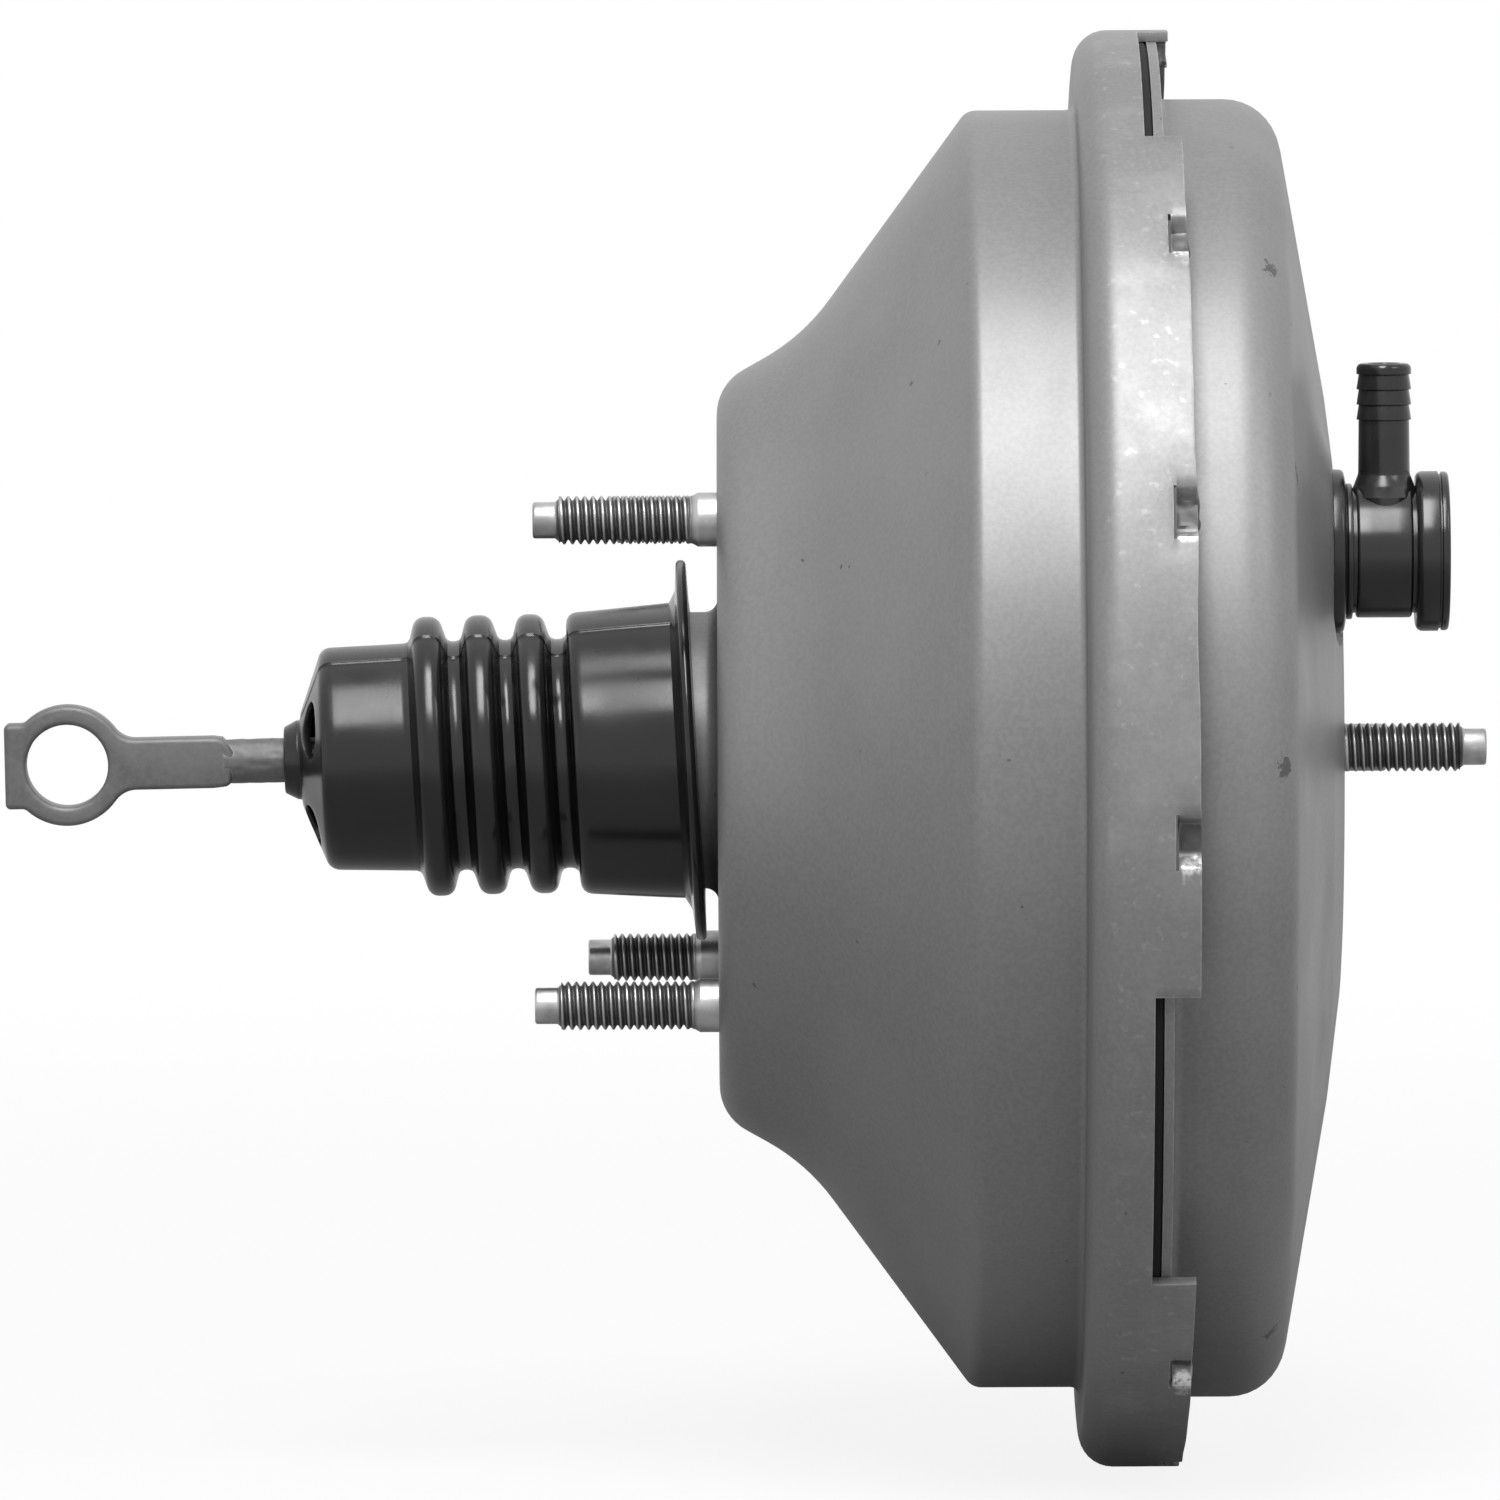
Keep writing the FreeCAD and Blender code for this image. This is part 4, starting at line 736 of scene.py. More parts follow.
def crimped(x, r, angle):
    """Place on the rim's wall after cropping the lugs, unevenly, and pressing the crimps in."""
    if x < 78.0:
        return x, r
    if x > LUG_END_X - 1.7:
        uneven = noise.noise(Vector((*ring_place(angle), 0.3)) * 4.0 * 1.7)
        x += 0.5 * uneven * (x - LUG_END_X + 1.7) / 1.7
    if x > LUG_ROOT_X:
        # The lugs end sooner towards the top and the bottom than at mid height
        up, across = ring_place(angle)
        cut = 0.8 + 1.9 * (1 - abs(across)) + 0.5 * up
        x -= cut * (x - LUG_ROOT_X) / (LUG_END_X - LUG_ROOT_X)
    for k, centre in RIM_STATIONS:
        off = turn_from(centre, angle)
        if k in WINDOWS or abs(off) > HALF_CRIMP * CRIMP_SPREAD:
            continue
        near = max(0.0, 1 - abs(off) / (HALF_CRIMP * CRIMP_SPREAD))
        if x > SLIT_X + SLIT_WIDTH / 2:
            fall = math.degrees(CRIMP_RAMP / RIM_R)
            fall *= 0.75 if off < 0 else 1.0 + 0.3 * noise.noise(Vector((k * 3.1, 0.4, 0.2)))
            press = max(eased((HALF_CRIMP - abs(off)) / fall), 0.16 * near)
            tear = noise.noise(Vector((x * 0.9, off * 2.6, k * 5.3)))
            r -= (CRIMP_DEPTH - 0.25 * (x - 88.0) / 3.0 + 0.45 * tear) * press
        else:
            r -= 0.25 * near * max(0.0, (x - 82.0) / 4.0)
    return x, r


def mark_crimps(piece):
    """Mask of the crimps: above 0 where the staking tool wore them and a glint is painted on the ramp, below
    0 for painted shade in their pressed-in hollow.
    """
    mask = piece.data.attributes.new("bright", "FLOAT", "POINT")
    for vertex, value in zip(piece.data.vertices, mask.data):
        x, y, z = vertex.co / MM
        if x < SLIT_X - 1.0:
            continue
        for k, centre in RIM_STATIONS:
            off = turn_from(centre, math.degrees(math.atan2(-y, z))) / HALF_CRIMP
            if k in WINDOWS or abs(off) > 2.2:
                continue
            # Worn marks on the ramp, tail and edge of each crimp, bright enough to stand as a painted glint
            ramp_mark = math.exp(-(((off - 0.82) / 0.3) ** 2))
            tail_mark = 0.5 * math.exp(-(((off - 1.35) / 0.35) ** 2)) * (k % 3 != 1)
            edge_mark = 0.5 * math.exp(-(((off + 0.7) / 0.12) ** 2))
            spread = 0.75 + 0.9 * noise.noise(Vector((x * 0.6, off * HALF_CRIMP * 0.9, k * 2.7)))
            past_slit = eased((x - SLIT_X) / 1.5)
            bare_and_glint = clamped(max(ramp_mark, tail_mark, edge_mark) * spread * past_slit)
            # Painted shade over the pressed-in middle of each crimp
            recess_shade = eased((0.7 - abs(off + 0.15)) / 0.2) * past_slit
            value.value = bare_and_glint - recess_shade * (1 - bare_and_glint)


def rear_shell():
    """Pressed shell with its cut lugs, staked crimps and slightly uneven edge."""
    profile = rounded([
        (NECK_END_X, NECK_MOUTH_R), (NECK_END_X, NECK_R, 2.6), (-10.4, NECK_R, 1.9), (-8.5, NECK_ROOT_R, 1.9),
        (0, NECK_ROOT_R, 2.6), (0, FIREWALL_FACE_R, 10.0), (FLARE_X, FLARE_R, 40.0),
        (DRUM_START_X, DRUM_R, 3.6), (RIM_START_X, DRUM_R, 1.6), (RIM_START_X, RIM_R, 6.5), (78.5, RIM_R),
    ], 8)
    profile = divided(profile, 4.0)
    last = len(profile)
    wall = [79.6, 80.7, WALL_END_X, 82.9, 84.2, SLIT_X]
    slit_row = last + len(wall) - 1
    wall += [SLIT_X + SLIT_WIDTH, 87.0, 88.2, 89.4, 90.3, LUG_END_X]
    profile += [(x, RIM_R) for x in wall]
    angles = rim_angles()

    def missing(x, angle, row):
        for k, centre in RIM_STATIONS:
            off = abs(turn_from(centre, angle))
            if k in WINDOWS and off < WINDOW_ANGLE / 2 and x > WALL_END_X:
                return True
            if k not in WINDOWS and off < HALF_CRIMP and row == slit_row:
                return True
        return False

    piece = finished(
        "rear_shell_pressing",
        turned_skin(profile, angles, missing, crimped),
        [sheet_metal(SHEET), soft_edges(0.22, 2, 40.0)],
        40.0,
    )
    mark_crimps(piece)
    return dress(piece, "zinc_plated_sheet")


# Front shell
def front_shell():
    """Pressed dome with its flange, the raised seat of the check valve and shallow dents."""
    profile = divided(rounded([
        (FLANGE_FRONT_X, RIM_R - SHEET - 0.1), (FLANGE_FRONT_X, DOME_R, 2.0), (DOME_SHOULDER_X, DOME_R, 10.7),
        (117.6, 70.0, 18.0), (PAD_X, PAD_R, 18.0), (PAD_X, PILOT_R, 2.4), (PILOT_FLOOR_X, PILOT_R, 2.4),
        (PILOT_FLOOR_X, PILOT_BORE_R),
    ], 8), 2.0)
    # Twice as many angles round the seat of the check valve
    angles = sorted(set(even_angles(240)) | {18.75 + 1.5 * k for k in range(45)})

    def off_valve(r, angle):
        place = about_axis(0, r, angle) / MM
        return math.hypot(place.y - VALVE_Y, place.z - VALVE_Z)

    def missing(x, angle, row):
        return off_valve((profile[row][1] + profile[row + 1][1]) / 2, angle) < GROMMET_BORE_R

    def move(x, r, angle):
        """Dome raised to the cone of the seat, with a soft run-out, and sunk inside the seat."""
        if x > 100.0 and r > 30.0:
            dent = max(0.0, noise.noise(about_axis(0, r, angle) / MM * 0.045) - 0.1)
            x -= 0.7 * dent * eased((r - 45.0) / 20.0)
        if r < 22.0 or r > 112.0:
            return x, r
        away = off_valve(r, angle)
        cone = VALVE_SEAT_X - VALVE_BOSS_FALL * max(0.0, away - VALVE_BOSS_R)
        close = max(0.0, 1.0 - abs(x - cone) / 2.0)
        high = max(x, cone) + close * close * 0.5 * eased((away - VALVE_BOSS_R + 1.0) / 2.0)
        if away < VALVE_BOSS_R:
            high = VALVE_SEAT_X + (high - VALVE_SEAT_X) * eased((away - VALVE_SEAT_R) / 1.9)
        return min(high, PAD_X), r

    piece = finished(
        "front_shell_pressing",
        turned_skin(profile, angles, missing, move),
        [sheet_metal(SHEET), soft_edges(0.3, 2, 50.0)],
        45.0,
    )
    return dress(piece, "zinc_plated_sheet")


# Studs
def stud(name, length, collar):
    """Stud along +X from x = 0: head, collar, rolled thread and dog point."""
    thread_start = max(collar, -1.0) + STUD_CHAMFER
    thread_end = length - DOG_LENGTH - STUD_CHAMFER * 0.6
    root = STUD_R - THREAD_DEPTH
    head = -STUD_THROUGH - STUD_HEAD_LENGTH
    spots = rounded([
        (head, 0), (head, STUD_HEAD_R, 0.5), (-STUD_THROUGH, STUD_HEAD_R, 0.3), (-STUD_THROUGH, COLLAR_R),
        (collar, COLLAR_R, 0.4), (thread_start, STUD_R - 0.15),
    ], 3)
    rows = math.ceil((thread_end - thread_start) / THREAD_PITCH * 14)
    first = len(spots)
    spots += [(thread_start + (thread_end - thread_start) * (k + 0.5) / rows, STUD_R) for k in range(rows)]
    final = len(spots)
    spots += rounded([
        (thread_end, root + 0.25), (length - DOG_LENGTH, DOG_R, 0.4), (length, DOG_R, 0.5), (length, 0),
    ], 4)

    def helix(x, angle):
        """1 on a crest and 0 at a root of the thread."""
        t = (x / THREAD_PITCH - angle / 360.0) % 1.0
        return clamped((abs(2 * t - 1) - 0.14) / 0.66)

    def move(x, r, angle):
        if x <= spots[first][0] - 1e-6 or x >= spots[final - 1][0] + 1e-6:
            return x, r
        fade = min((x - thread_start) / 1.4, (thread_end - x) / 0.9 + 0.2)
        depth = THREAD_DEPTH * clamped(fade)
        worn = 0.05 * noise.noise(Vector((x, *ring_place(angle, 5))))
        return x, STUD_R - depth * (1 - helix(x, angle)) - 0.03 - worn * 0.5

    piece = turning(name, spots, 48, move=move)
    bright = piece.data.attributes.new("bright", "FLOAT", "POINT")
    for vertex, value in zip(piece.data.vertices, bright.data):
        x, r = vertex.co.x / MM, math.hypot(vertex.co.y, vertex.co.z) / MM
        if x < thread_start - 0.2 or x > thread_end + 0.2:
            value.value = 1.0
        else:
            value.value = max(0.0, (r - root) / THREAD_DEPTH) ** 1.5
    return piece


def firewall_studs():
    """The near pair is longer and wider apart than the far pair."""
    for side, word, (spacing, length) in ((-1, "near", NEAR_STUDS), (1, "far", FAR_STUDS)):
        for up, level in ((1, "upper"), (-1, "lower")):
            piece = stud("firewall_stud_%s_%s" % (word, level), length, COLLAR_LENGTH)
            place = Vector((0, side * ROW_SPACING / 2, up * spacing / 2)) * MM
            # Each stud stands at its own turn about itself, then points to the rear
            piece.data.transform(Matrix.Rotation(0.7 * side + up, 4, "X"))
            piece.data.transform(Matrix.Translation(place) @ Matrix.Rotation(math.pi, 4, "Z"))
            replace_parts(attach(dress(piece, "stud_steel"), "housing"), "firewall_studs")


def master_cylinder_studs():
    """The pair on the pad, across the booster and turned by its clocking."""
    spacing, length = FRONT_STUDS
    for side, word in ((-1, "near"), (1, "far")):
        piece = stud("master_cylinder_stud_" + word, length, -STUD_CHAMFER)
        place = Vector((PAD_X, *ring_place(CLOCKING, side * spacing / 2))) * MM
        piece.data.transform(Matrix.Translation(place))
        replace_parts(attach(dress(piece, "stud_steel"), "housing"), "master_cylinder_studs")


# Input rod
def arc(x, z, radius, start, finish, count=8):
    """Places (x, z) along an arc; angles are in radians."""
    steps = [start + (finish - start) * k / count for k in range(count + 1)]
    return [(x + radius * math.cos(a), z + radius * math.sin(a)) for a in steps]


def forging_outline():
    """Outline of the eye, its square tip and its bar, from the centre of the eye."""
    half_bar = BAR_HEIGHT / 2
    half_tip = EYE_TIP_HEIGHT / 2
    bar_fillet_z = half_bar + EYE_FILLET
    bar_reach = math.sqrt((EYE_R + EYE_FILLET) ** 2 - bar_fillet_z ** 2)
    bar_angle = math.atan2(bar_fillet_z, bar_reach)
    tip_fillet_z = half_tip + EYE_TIP_FILLET
    tip_reach = math.sqrt((EYE_R + EYE_TIP_FILLET) ** 2 - tip_fillet_z ** 2)
    tip_angle = math.atan2(tip_fillet_z, tip_reach)
    end = EYE_X - BAR_END
    upper = [(end + 0.9, half_bar - 3.0), (end - 1.4, half_bar - 0.25), (end - 3.2, half_bar)]
    upper += arc(bar_reach, bar_fillet_z, EYE_FILLET, -math.pi / 2, bar_angle - math.pi)
    upper += arc(0, 0, EYE_R, bar_angle, math.pi - tip_angle, 20)[1:-1]
    upper += arc(-tip_reach, tip_fillet_z, EYE_TIP_FILLET, -tip_angle, -math.pi / 2, 5)
    corner = (EYE_TIP_ROUND - EYE_TIP, half_tip - EYE_TIP_ROUND)
    upper += arc(*corner, EYE_TIP_ROUND, math.pi / 2, math.pi, 5)
    lower = [(x, -z) for x, z in reversed(upper)]
    lower[-3:] = [(end - 3.2, -half_bar), (end - 0.2, -half_bar + 0.3), (end + 0.3, -half_bar + 1.2)]
    return upper + lower


def input_rod():
    """Forged eye and bar on a round shaft, with rolled edges and marks of the die by the step."""
    bm = prism([(x - EYE_X, z) for x, z in forging_outline()], EYE_THICKNESS / 2)
    # The bar is a little thicker than the eye, past a short ramp
    start = (EYE_R + 3.0 - EYE_X) * MM
    ramp = 3.0 * MM
    for cut in (start, start + ramp):
        everything = bm.verts[:] + bm.edges[:] + bm.faces[:]
        bmesh.ops.bisect_plane(bm, geom=everything, plane_co=(cut, 0, 0), plane_no=(1, 0, 0))
    for vertex in bm.verts:
        share = eased((vertex.co.x - start) / ramp)
        vertex.co.y *= 1 - share * (1 - BAR_THICKNESS / EYE_THICKNESS)
    round_eye = arc(0, 0, EYE_BORE_R, 0, 2 * math.pi * 71 / 72, 71)
    cutter = finished("eye_bore", prism([(x - EYE_X, z) for x, z in round_eye], EYE_THICKNESS))
    forging = finished("rod_forging", bm, [hole(cutter), soft_edges(1.1, 4, 50.0)], 60.0)
    bpy.data.objects.remove(cutter)
    ball = arc(0, 0, BALL_R, math.pi - math.asin(ROD_NECK_R / BALL_R), 0, 14)
    shaft = divided(rounded([
        (-BAR_END - 1.2, 0), (-BAR_END - 1.2, ROD_R - 0.15), (-ROD_NECK_LENGTH, ROD_R, 1.0),
        (-ROD_NECK_LENGTH + 1.1, ROD_NECK_R, 0.8), ball[0],
    ], 4) + ball[1:-1] + [(BALL_R, 0)], 1.2)

    def move(x, r, angle):
        """Rough skin of the forging, strongest beside the step."""
        if r < 1.0 or x > -60.0:
            return x, r
        near = eased((-BAR_END + 19.0 - x) / 8.0) * eased((70.0 - abs(angle - 62.0)) / 40.0)
        place = about_axis(x, r, angle) / MM
        skin = 0.1 * noise.noise(place * 0.5)
        marks = 0.42 * near * noise.noise(place * Vector((0.9, 0.5, 0.9)))
        return x, r - 0.05 + skin + marks

    piece = joined("input_rod_forging", [forging, turning("rod_shaft", shaft, 56, move=move)], 50.0)
    lean = Matrix.Rotation(math.radians(-ROD_DROOP), 4, "Y")
    piece.data.transform(Matrix.Translation(Vector((BALL_X, 0, 0)) * MM) @ lean)
    return dress(piece, "forged_steel")


# Output rod
def output_rod():
    """Head in the hub, then a polished rod whose slimmer nose the studs hide from the side."""
    start, end = node_ends("output_rod")
    neck = start + OUTPUT_HEAD
    head_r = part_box("output_rod")[1].z / MM
    floor_x = end - OUTPUT_SOCKET_DEPTH
    spots = divided(rounded([
        (start, 0), (start, head_r, 0.5), (neck, head_r, 0.5), (neck, OUTPUT_R, 3.0),
        (PAD_X + 0.3, OUTPUT_R, 0.5), (PAD_X + 1.3, OUTPUT_NOSE_R, 0.5), (end, OUTPUT_NOSE_R, 0.6),
        (end, OUTPUT_SOCKET_R), (floor_x, OUTPUT_SOCKET_R), (floor_x, 0),
    ], 5), 8.0)
    return dress(turning("output_rod_turning", spots, 64, sharp=40.0), "plain_steel")


# Check valve
def at_valve(piece):
    piece.data.transform(Matrix.Translation(Vector((0, VALVE_Y, VALVE_Z)) * MM))
    return piece


def check_valve_body():
    """Moulded barrel with its push-in stem and a barbed hose nipple on a flared foot."""
    barrel = divided(rounded([
        (109.5, 0), (109.5, 7.8), (111.7, VALVE_STEM_R, 0.5), (120.3, VALVE_STEM_R), (120.3, 13.0, 0.35),
        (121.5, 13.0, 0.35), (121.5, 11.8), (122.2, 11.8), (122.2, 12.7, 0.6), (132.9, 12.7, 0.6),
        (132.9, 11.8), (VALVE_CAP_X, 11.8), (VALVE_CAP_X, 0),
    ], 5), 3.0)
    barrel = turning("valve_barrel", barrel, 96, sharp=40.0)
    corners = [(7.0, 0), (7.0, 6.2), (10.6, 6.1), (12.6, 5.6, 1.2), (15.0, 4.95, 3.0), (24.9, NIPPLE_R)]
    for barb in range(BARBS):
        height = LAST_BARB - (BARBS - 1 - barb) * BARB_PITCH
        corners += [(height, NIPPLE_R - 0.05), (height + 0.15, BARB_R, 0.12)]
        if barb < BARBS - 1:
            corners.append((height + BARB_PITCH - 0.15, NIPPLE_R))
    corners += [(NIPPLE_END, BARB_R, 1.1), (NIPPLE_END, NIPPLE_BORE_R, 0.3), (33.0, NIPPLE_BORE_R), (33.0, 0)]
    nipple = turning("valve_nipple", rounded(corners, 5), 64, sharp=40.0)
    # It is turned along +X and then stood up; that mirrors it, so its faces are turned round again
    nipple.data.transform(Matrix(((0, 0, 1, 0), (0, 1, 0, 0), (1, 0, 0, 0), (0, 0, 0, 1))))
    for vertex in nipple.data.vertices:
        flare = 1.0 - eased((vertex.co.z / MM - 10.5) / 3.4)
        vertex.co.x *= 1.0 + 0.12 * flare
        vertex.co.y *= 1.0 + 0.45 * flare
    nipple.data.flip_normals()
    nipple.data.transform(Matrix.Translation(Vector((NIPPLE_X, 0, 0)) * MM))
    piece = at_valve(joined("check_valve_moulding", [barrel, nipple], 40.0))
    return dress(piece, "black_nylon")


def check_valve_cap():
    """Pressed-on cap with a rounded shoulder and a witness groove by its lip."""
    cap = divided(rounded([
        (131.4, 0), (131.4, 10.4), (VALVE_CAP_X, 10.4), (VALVE_CAP_X, 15.3, 1.3), (137.9, 15.3, 0.15),
        (138.0, 14.8, 0.1), (138.4, 14.8, 0.1), (138.5, 15.2, 0.15), (139.9, 15.2, 0.7), (139.9, 11.2, 0.4),
        (139.6, 10.6, 0.4), (139.6, 0),
    ], 5), 3.0)
    return dress(at_valve(turning("check_valve_cap_moulding", cap, 96, sharp=40.0)), "black_nylon")


def check_valve_grommet():
    """Rubber seal with a rounded outer flange and a bevelled inner one."""
    bore_r = VALVE_STEM_R + 0.05
    ring = rounded([
        (114.0, bore_r), (114.0, 11.6), (114.2, 13.0, 0.5), (VALVE_SEAT_X - SHEET, 13.2, 0.3),
        (VALVE_SEAT_X - SHEET, GROMMET_BORE_R), (VALVE_SEAT_X, GROMMET_BORE_R), (VALVE_SEAT_X, 15.75, 0.2),
        (119.8, 15.6, 0.9), (120.3, 13.3, 0.6), (120.3, bore_r),
    ], 5)
    return dress(at_valve(turning("check_valve_seal", ring + ring[:1], 96)), "black_rubber")


# Dust boot
def boot_outline():
    """Outer outline of the boot from its lip to its cuff."""
    corners = [
        (BOOT_TIP_X, 4.7), (BOOT_TIP_X, 6.4, 0.6), (-81.9, 7.7, 0.9), (-81.2, 7.7, 0.5),
        (NOSE_CONE_X, NOSE_CONE_R, 0.8), (NOSE_CONE_X + NOSE_CONE_RISE, NOSE_CONE_R + NOSE_CONE_RUN, 2.6),
    ]
    for fold in range(BOOT_FOLDS):
        start = BOOT_FOLD_X + fold * BOOT_FOLD_PITCH
        valley_r = BOOT_VALLEY_R if fold else BOOT_VALLEY_R - 0.1
        corners += [
            (start - 0.7, valley_r, 1.2), (start + 0.8, BOOT_CREST_R, 2.3),
            (start + 5.3, BOOT_CREST_R, 2.3), (start + 6.8, BOOT_VALLEY_R, 1.2),
        ]
    cuff = BOOT_FOLD_X + BOOT_FOLDS * BOOT_FOLD_PITCH
    corners += [(cuff, BOOT_VALLEY_R, 1.6), (cuff, BOOT_CREST_R + 0.1, 2.2), (-4.1, 28.95)]
    return corners


def off_vent(r, angle):
    """Where a place lies in the nearest vent: outwards, sideways (1 is its edge) and the vent's angle."""
    middle = min(BOOT_VENTS, key=lambda m: abs(turn_from(m, angle)))
    return (r - VENT_R) / VENT_HALF_WIDTH, turn_from(middle, angle) / VENT_HALF_ANGLE, middle


def open_vents(bm):
    """Draw the stepped edges of the vents onto clean ovals."""
    for vertex in bm.verts:
        x, y, z = vertex.co / MM
        r = math.hypot(y, z)
        if not vertex.is_boundary or x > -76.0 or not 9.6 < r < 19.0:
            continue
        radial, sideways, middle = off_vent(r, math.degrees(math.atan2(-y, z)))
        size = math.hypot(radial, sideways)
        r = VENT_R + VENT_HALF_WIDTH * radial / size
        x = NOSE_CONE_X + (r - NOSE_CONE_R) * NOSE_CONE_RISE / NOSE_CONE_RUN
        vertex.co = about_axis(x, r, middle + VENT_HALF_ANGLE * sideways / size)
    return bm


def boot_angles():
    """Even angles, drawn closer across the parting line."""
    angles = set(even_angles(160))
    for seam in BOOT_SEAMS:
        angles = {a for a in angles if abs(a - seam) > 2.2}
        angles |= {seam + d for d in (-2.0, -1.3, -0.8, -0.45, -0.15, 0.15, 0.45, 0.8, 1.3, 2.0)}
    return sorted(angles)


def seam_rise(angle):
    """Low ridge, with a step beside it, where the mould halves met."""
    rise = 0.0
    for seam in BOOT_SEAMS:
        off = turn_from(seam, angle)
        rise += math.exp(-((off / 0.55) ** 2)) * 0.28
        rise += (0.16 if 0 < off < 2.2 else 0.0) * (1 - abs(off) / 2.2)
    return rise


def hang(piece):
    """Lean a part of the boot, less at its tip, and let it fall towards the tip."""
    for vertex in piece.data.vertices:
        x, y, z = vertex.co / MM
        reach = clamped((x - BOOT_TIP_X) / 14.0)
        lean = math.tan(math.radians(BOOT_FALL + (BOOT_LEAN - BOOT_FALL) * reach))
        fall = (x - BOOT_FLANGE_X) * math.tan(math.radians(BOOT_FALL))
        vertex.co = Vector((x - z * lean, y, z + fall)) * MM


def dust_boot():
    """Rubber boot with its folds, a moulded parting line, a leaning flange and vents in its nose."""
    spots = []
    for spot in divided(rounded(boot_outline(), 8), 0.8):
        if not spots or spot[0] < -76.0 or math.dist(spot, spots[-1]) > 0.6:
            spots.append(spot)
    flange = rounded([
        (-5.3, 27.6), (BOOT_FLANGE_X - 1.4, 28.2), (BOOT_FLANGE_X + 0.2, 31.0, 2.5),
        (BOOT_FLANGE_X + 0.7, BOOT_FLANGE_R, 0.9), (-4.3, BOOT_FLANGE_R, 0.9), (-4.1, 28.2),
    ], 4)
    angles = boot_angles()

    def move(x, r, angle):
        if r < 9.5:
            return x, r
        sway = noise.noise(Vector((x * 0.05, *ring_place(angle, 1.3))))
        return x, r + seam_rise(angle) + 0.22 * sway

    def missing(x, angle, row):
        r = (spots[row][1] + spots[row + 1][1]) / 2
        return x < -76.5 and 9.9 < r < 18.5 and math.hypot(*off_vent(r, angle)[:2]) < 1.0

    def skin(name, part):
        walls = [sheet_metal(BOOT_WALL), soft_edges(0.25, 2, 60.0)]
        return finished(name, open_vents(turned_skin(part, angles, missing, move)), walls, 60.0)

    groove = min(range(len(spots)), key=lambda i: abs(spots[i][0] - BOOT_GROOVE_X))
    folds = skin("boot_folds_skin", spots[groove:])
    spots = spots[:groove + 1]
    nose = skin("boot_nose", spots)
    collar = finished("boot_flange", turned_skin(flange + flange[:1], angles), (), 60.0)
    folds = joined("boot_folds", [folds, collar])
    for piece in (nose, folds):
        hang(piece)
        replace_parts(dress(piece, "black_rubber"), "dust_boot")
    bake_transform(nose)
    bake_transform(folds)


# Diaphragm
def diaphragm():
    """Rolling rubber skin from its bead in the rim to its inner lip on the plate."""
    skin = divided(rounded([
        (72.4, DIAPHRAGM_R), (63.0, DIAPHRAGM_R, 4.0), (20.3, 61.9, 12.0), (20.3, DIAPHRAGM_LIP_R),
    ], 6), 3.0)
    skin += [(x - 2.0, r) if r < 60 else (x - 1.5, r + 1.7) for x, r in reversed(skin)]
    bead = rounded([
        (71.6, 120.3), (71.6, BEAD_R, 4.6), (BEAD_END_X, BEAD_R, 0.8), (BEAD_END_X, BEAD_INNER_R, 0.8),
        (73.4, DRUM_R), (73.4, 120.3),
    ], 4)
    lip = rounded([(13.6, DIAPHRAGM_LIP_R), (13.6, 32.4, 1.0), (18.5, 32.4, 1.0), (18.5, DIAPHRAGM_LIP_R)], 4)
    piece = joined("diaphragm_moulding", [
        turning("diaphragm_" + word, loop + loop[:1], count)
        for word, loop, count in (("skin", skin, 160), ("bead", bead, 160), ("lip", lip, 120))
    ])
    dress(piece, "black_rubber")
    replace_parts(piece, "diaphragm")
    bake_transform(piece)


# Springs
def wound_spring(name, x0, x1, radius, wire, turns):
    """Round wire wound about the axis, with closed end turns."""
    bm = bmesh.new()
    steps = turns * 40
    around = 14
    rings = []
    for i in range(steps + 1):
        t = i / steps
        share = t - 0.35 * math.sin(2 * math.pi * t) / (2 * math.pi)
        centre_x = x0 + wire + (x1 - x0 - 2 * wire) * share
        ring = []
        for j in range(around):
            tip = 2 * math.pi * j / around
            x, r = centre_x + wire * math.sin(tip), radius + wire * math.cos(tip)
            ring.append(bm.verts.new(about_axis(x, r, 360.0 * turns * t)))
        rings.append(ring)
    for a, b in zip(rings, rings[1:]):
        for j in range(around):
            k = (j + 1) % around
            bm.faces.new((a[j], a[k], b[k], b[j]))
    bm.faces.new(rings[0])
    bm.faces.new(rings[-1][::-1])
    return finished(name, bm, (), 50.0)


def spring(node, radius, wire, turns, at=(0, 0)):
    """Coil in place of a CAD spring, about the axis at (y, z)."""
    start, end = node_ends(node)
    piece = wound_spring(node + "_coil", start, end, radius, wire, turns)
    piece.data.transform(Matrix.Translation(Vector((0, *at)) * MM))
    dress(piece, "spring_steel")
    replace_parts(piece, node)
    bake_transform(piece)


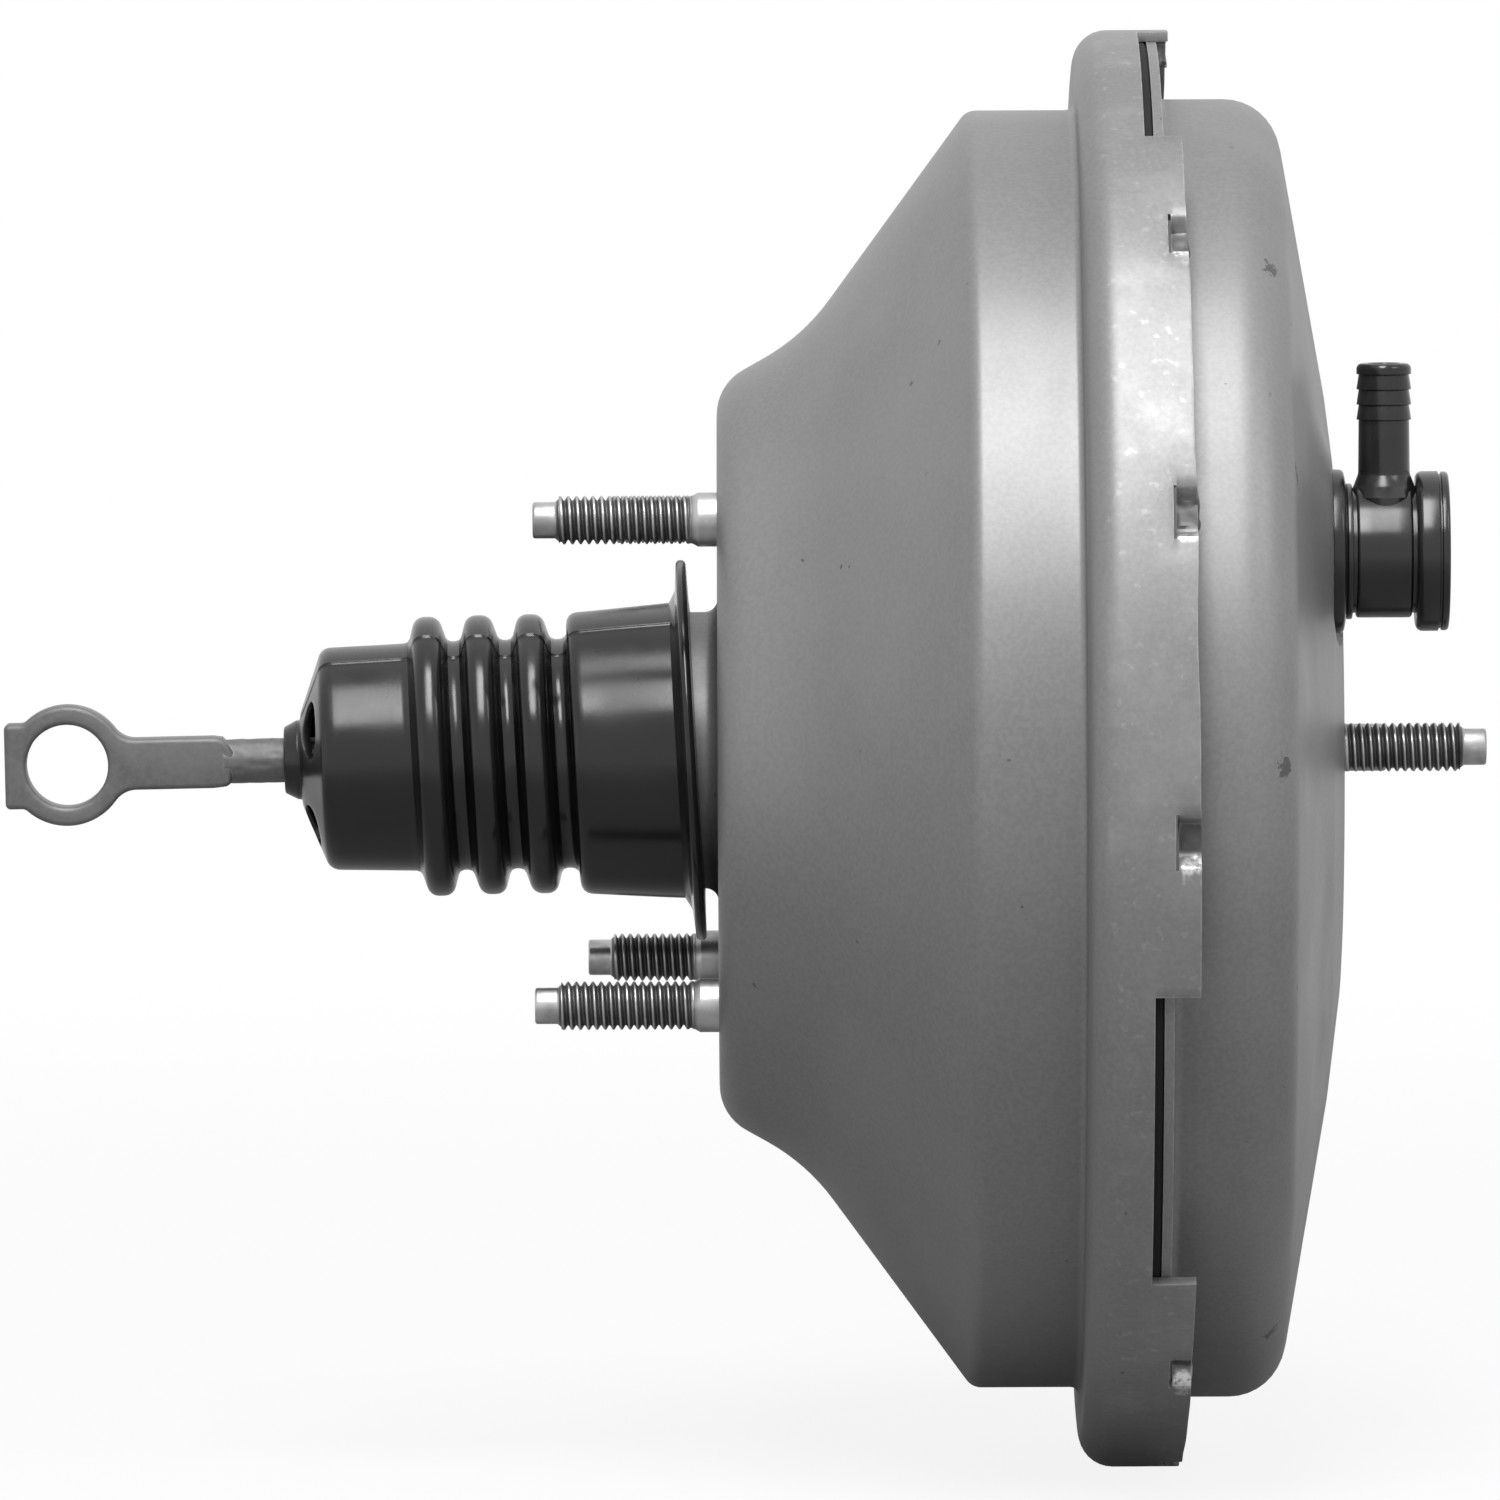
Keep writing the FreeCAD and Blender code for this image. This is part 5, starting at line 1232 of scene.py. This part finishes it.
# Studio
def floor():
    """Pale sheet under the booster: it fades to white away from it and keeps its shadow."""
    bm = bmesh.new()
    corners = [(-1, -1), (1, -1), (1, 1), (-1, 1)]
    bm.faces.new([bm.verts.new((x * FLOOR_REACH, y * FLOOR_REACH, FLOOR_Z)) for x, y in corners])
    piece = finished("studio_floor", bm)
    material, s, surface = new_material("studio_floor")
    place = s.places()
    light = s.add("ShaderNodeLightPath").outputs
    # White where it is seen, and a mid grey for the light that it throws back on the booster
    pale = s.mix(s.noise(place, 3.0), grey(0.4), grey(0.44))
    s.feed(s.mix(light["Is Camera Ray"], pale, grey(0.9)), surface.inputs["Base Color"])
    surface.inputs["Roughness"].default_value = 0.9
    reach = s.add("ShaderNodeVectorMath", {"operation": "LENGTH"}, n0=place).outputs["Value"]
    far = s.step(reach, *FLOOR_FADE)
    near = s.line(light["Is Camera Ray"], 0.83, 0.05)
    share = s.line(s.maths("SUBTRACT", 1.0, near), far, near)
    share = s.times(s.seen(light), share)
    glow = s.add("ShaderNodeEmission", Color=(1, 1, 1, 1), Strength=1.0)
    blend = s.add("ShaderNodeMixShader", n0=share, n1=surface.outputs[0], n2=glow.outputs[0])
    s.feed(blend.outputs[0], s.tree.nodes["Material Output"].inputs["Surface"])
    piece.data.materials.append(material)


def world():
    """White seen directly and in reflections, and a soft grey fill."""
    setting = bpy.data.worlds.new("studio")
    setting.use_nodes = True
    s = Shader(setting.node_tree)
    background = setting.node_tree.nodes["Background"]
    background.inputs["Color"].default_value = (1, 1, 1, 1)
    seen = s.seen(s.add("ShaderNodeLightPath").outputs)
    strength = s.line(seen, 1.0 - FILL_LIGHT, FILL_LIGHT)
    s.feed(strength, background.inputs["Strength"])
    bpy.context.scene.world = setting


def lamp(name, place, target, size, power):
    """Rectangular soft box that faces a point."""
    data = bpy.data.lights.new(name, "AREA")
    data.shape = "RECTANGLE"
    data.size, data.size_y = size
    data.energy = power
    light = bpy.data.objects.new(name, data)
    light.location = place
    light.rotation_euler = (Vector(target) - Vector(place)).to_track_quat("-Z", "Y").to_euler()
    bpy.context.scene.collection.objects.link(light)


def studio():
    """Tall key light over the near side, a small one before the dome and a faint card by the rod."""
    floor()
    world()
    lamp("key_softbox", place=(-0.02, -0.84, 1.42), target=(0.05, 0, 0), size=(0.5, 1.35), power=27.0)
    lamp("front_softbox", place=(1.15, -0.8, 1.1), target=(0.05, 0, 0), size=(0.6, 0.6), power=4.5)
    lamp("side_card", place=(-1.6, -0.9, 0.3), target=(-0.05, 0, 0), size=(0.7, 1.0), power=0.4)


def camera():
    """Long lens from the near side, raised a little, rolled as the photograph is."""
    data = bpy.data.cameras.new("camera")
    data.sensor_width = CAMERA_SENSOR
    data.lens = CAMERA_LENS
    data.clip_end = 100.0
    view = bpy.data.objects.new("camera", data)
    rise = math.radians(CAMERA_RISE)
    target = Vector(CAMERA_TARGET)
    view.location = target + Vector((0, -math.cos(rise), math.sin(rise))) * CAMERA_DISTANCE
    aim = (target - view.location).to_track_quat("-Z", "Y").to_matrix().to_4x4()
    view.rotation_euler = (aim @ Matrix.Rotation(math.radians(CAMERA_ROLL), 4, "Z")).to_euler()
    bpy.context.scene.collection.objects.link(view)
    bpy.context.scene.camera = view


# Scene
camera()
dress_cad_nodes()
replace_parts(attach(rear_shell(), "housing"), "rear_shell")
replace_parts(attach(front_shell(), "housing"), "front_shell")
firewall_studs()
master_cylinder_studs()
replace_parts(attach(input_rod(), "pedal_rod"), "input_rod")
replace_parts(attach(output_rod(), "power_piston"), "output_rod")
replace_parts(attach(check_valve_body(), "check_valve"), "check_valve_body")
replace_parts(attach(check_valve_cap(), "check_valve"), "check_valve_cap")
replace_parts(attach(check_valve_grommet(), "housing"), "check_valve_grommet")
dust_boot()
diaphragm()
spring("return_spring", radius=28.0, wire=1.9, turns=5)
spring(
    "plunger_return_spring", radius=9.6, wire=0.65, turns=3,
)
spring(
    "check_valve_spring", radius=4.6, wire=0.5, turns=3,
    at=(VALVE_Y, VALVE_Z),
)
studio()

bpy.context.scene.view_settings.view_transform = "Standard"
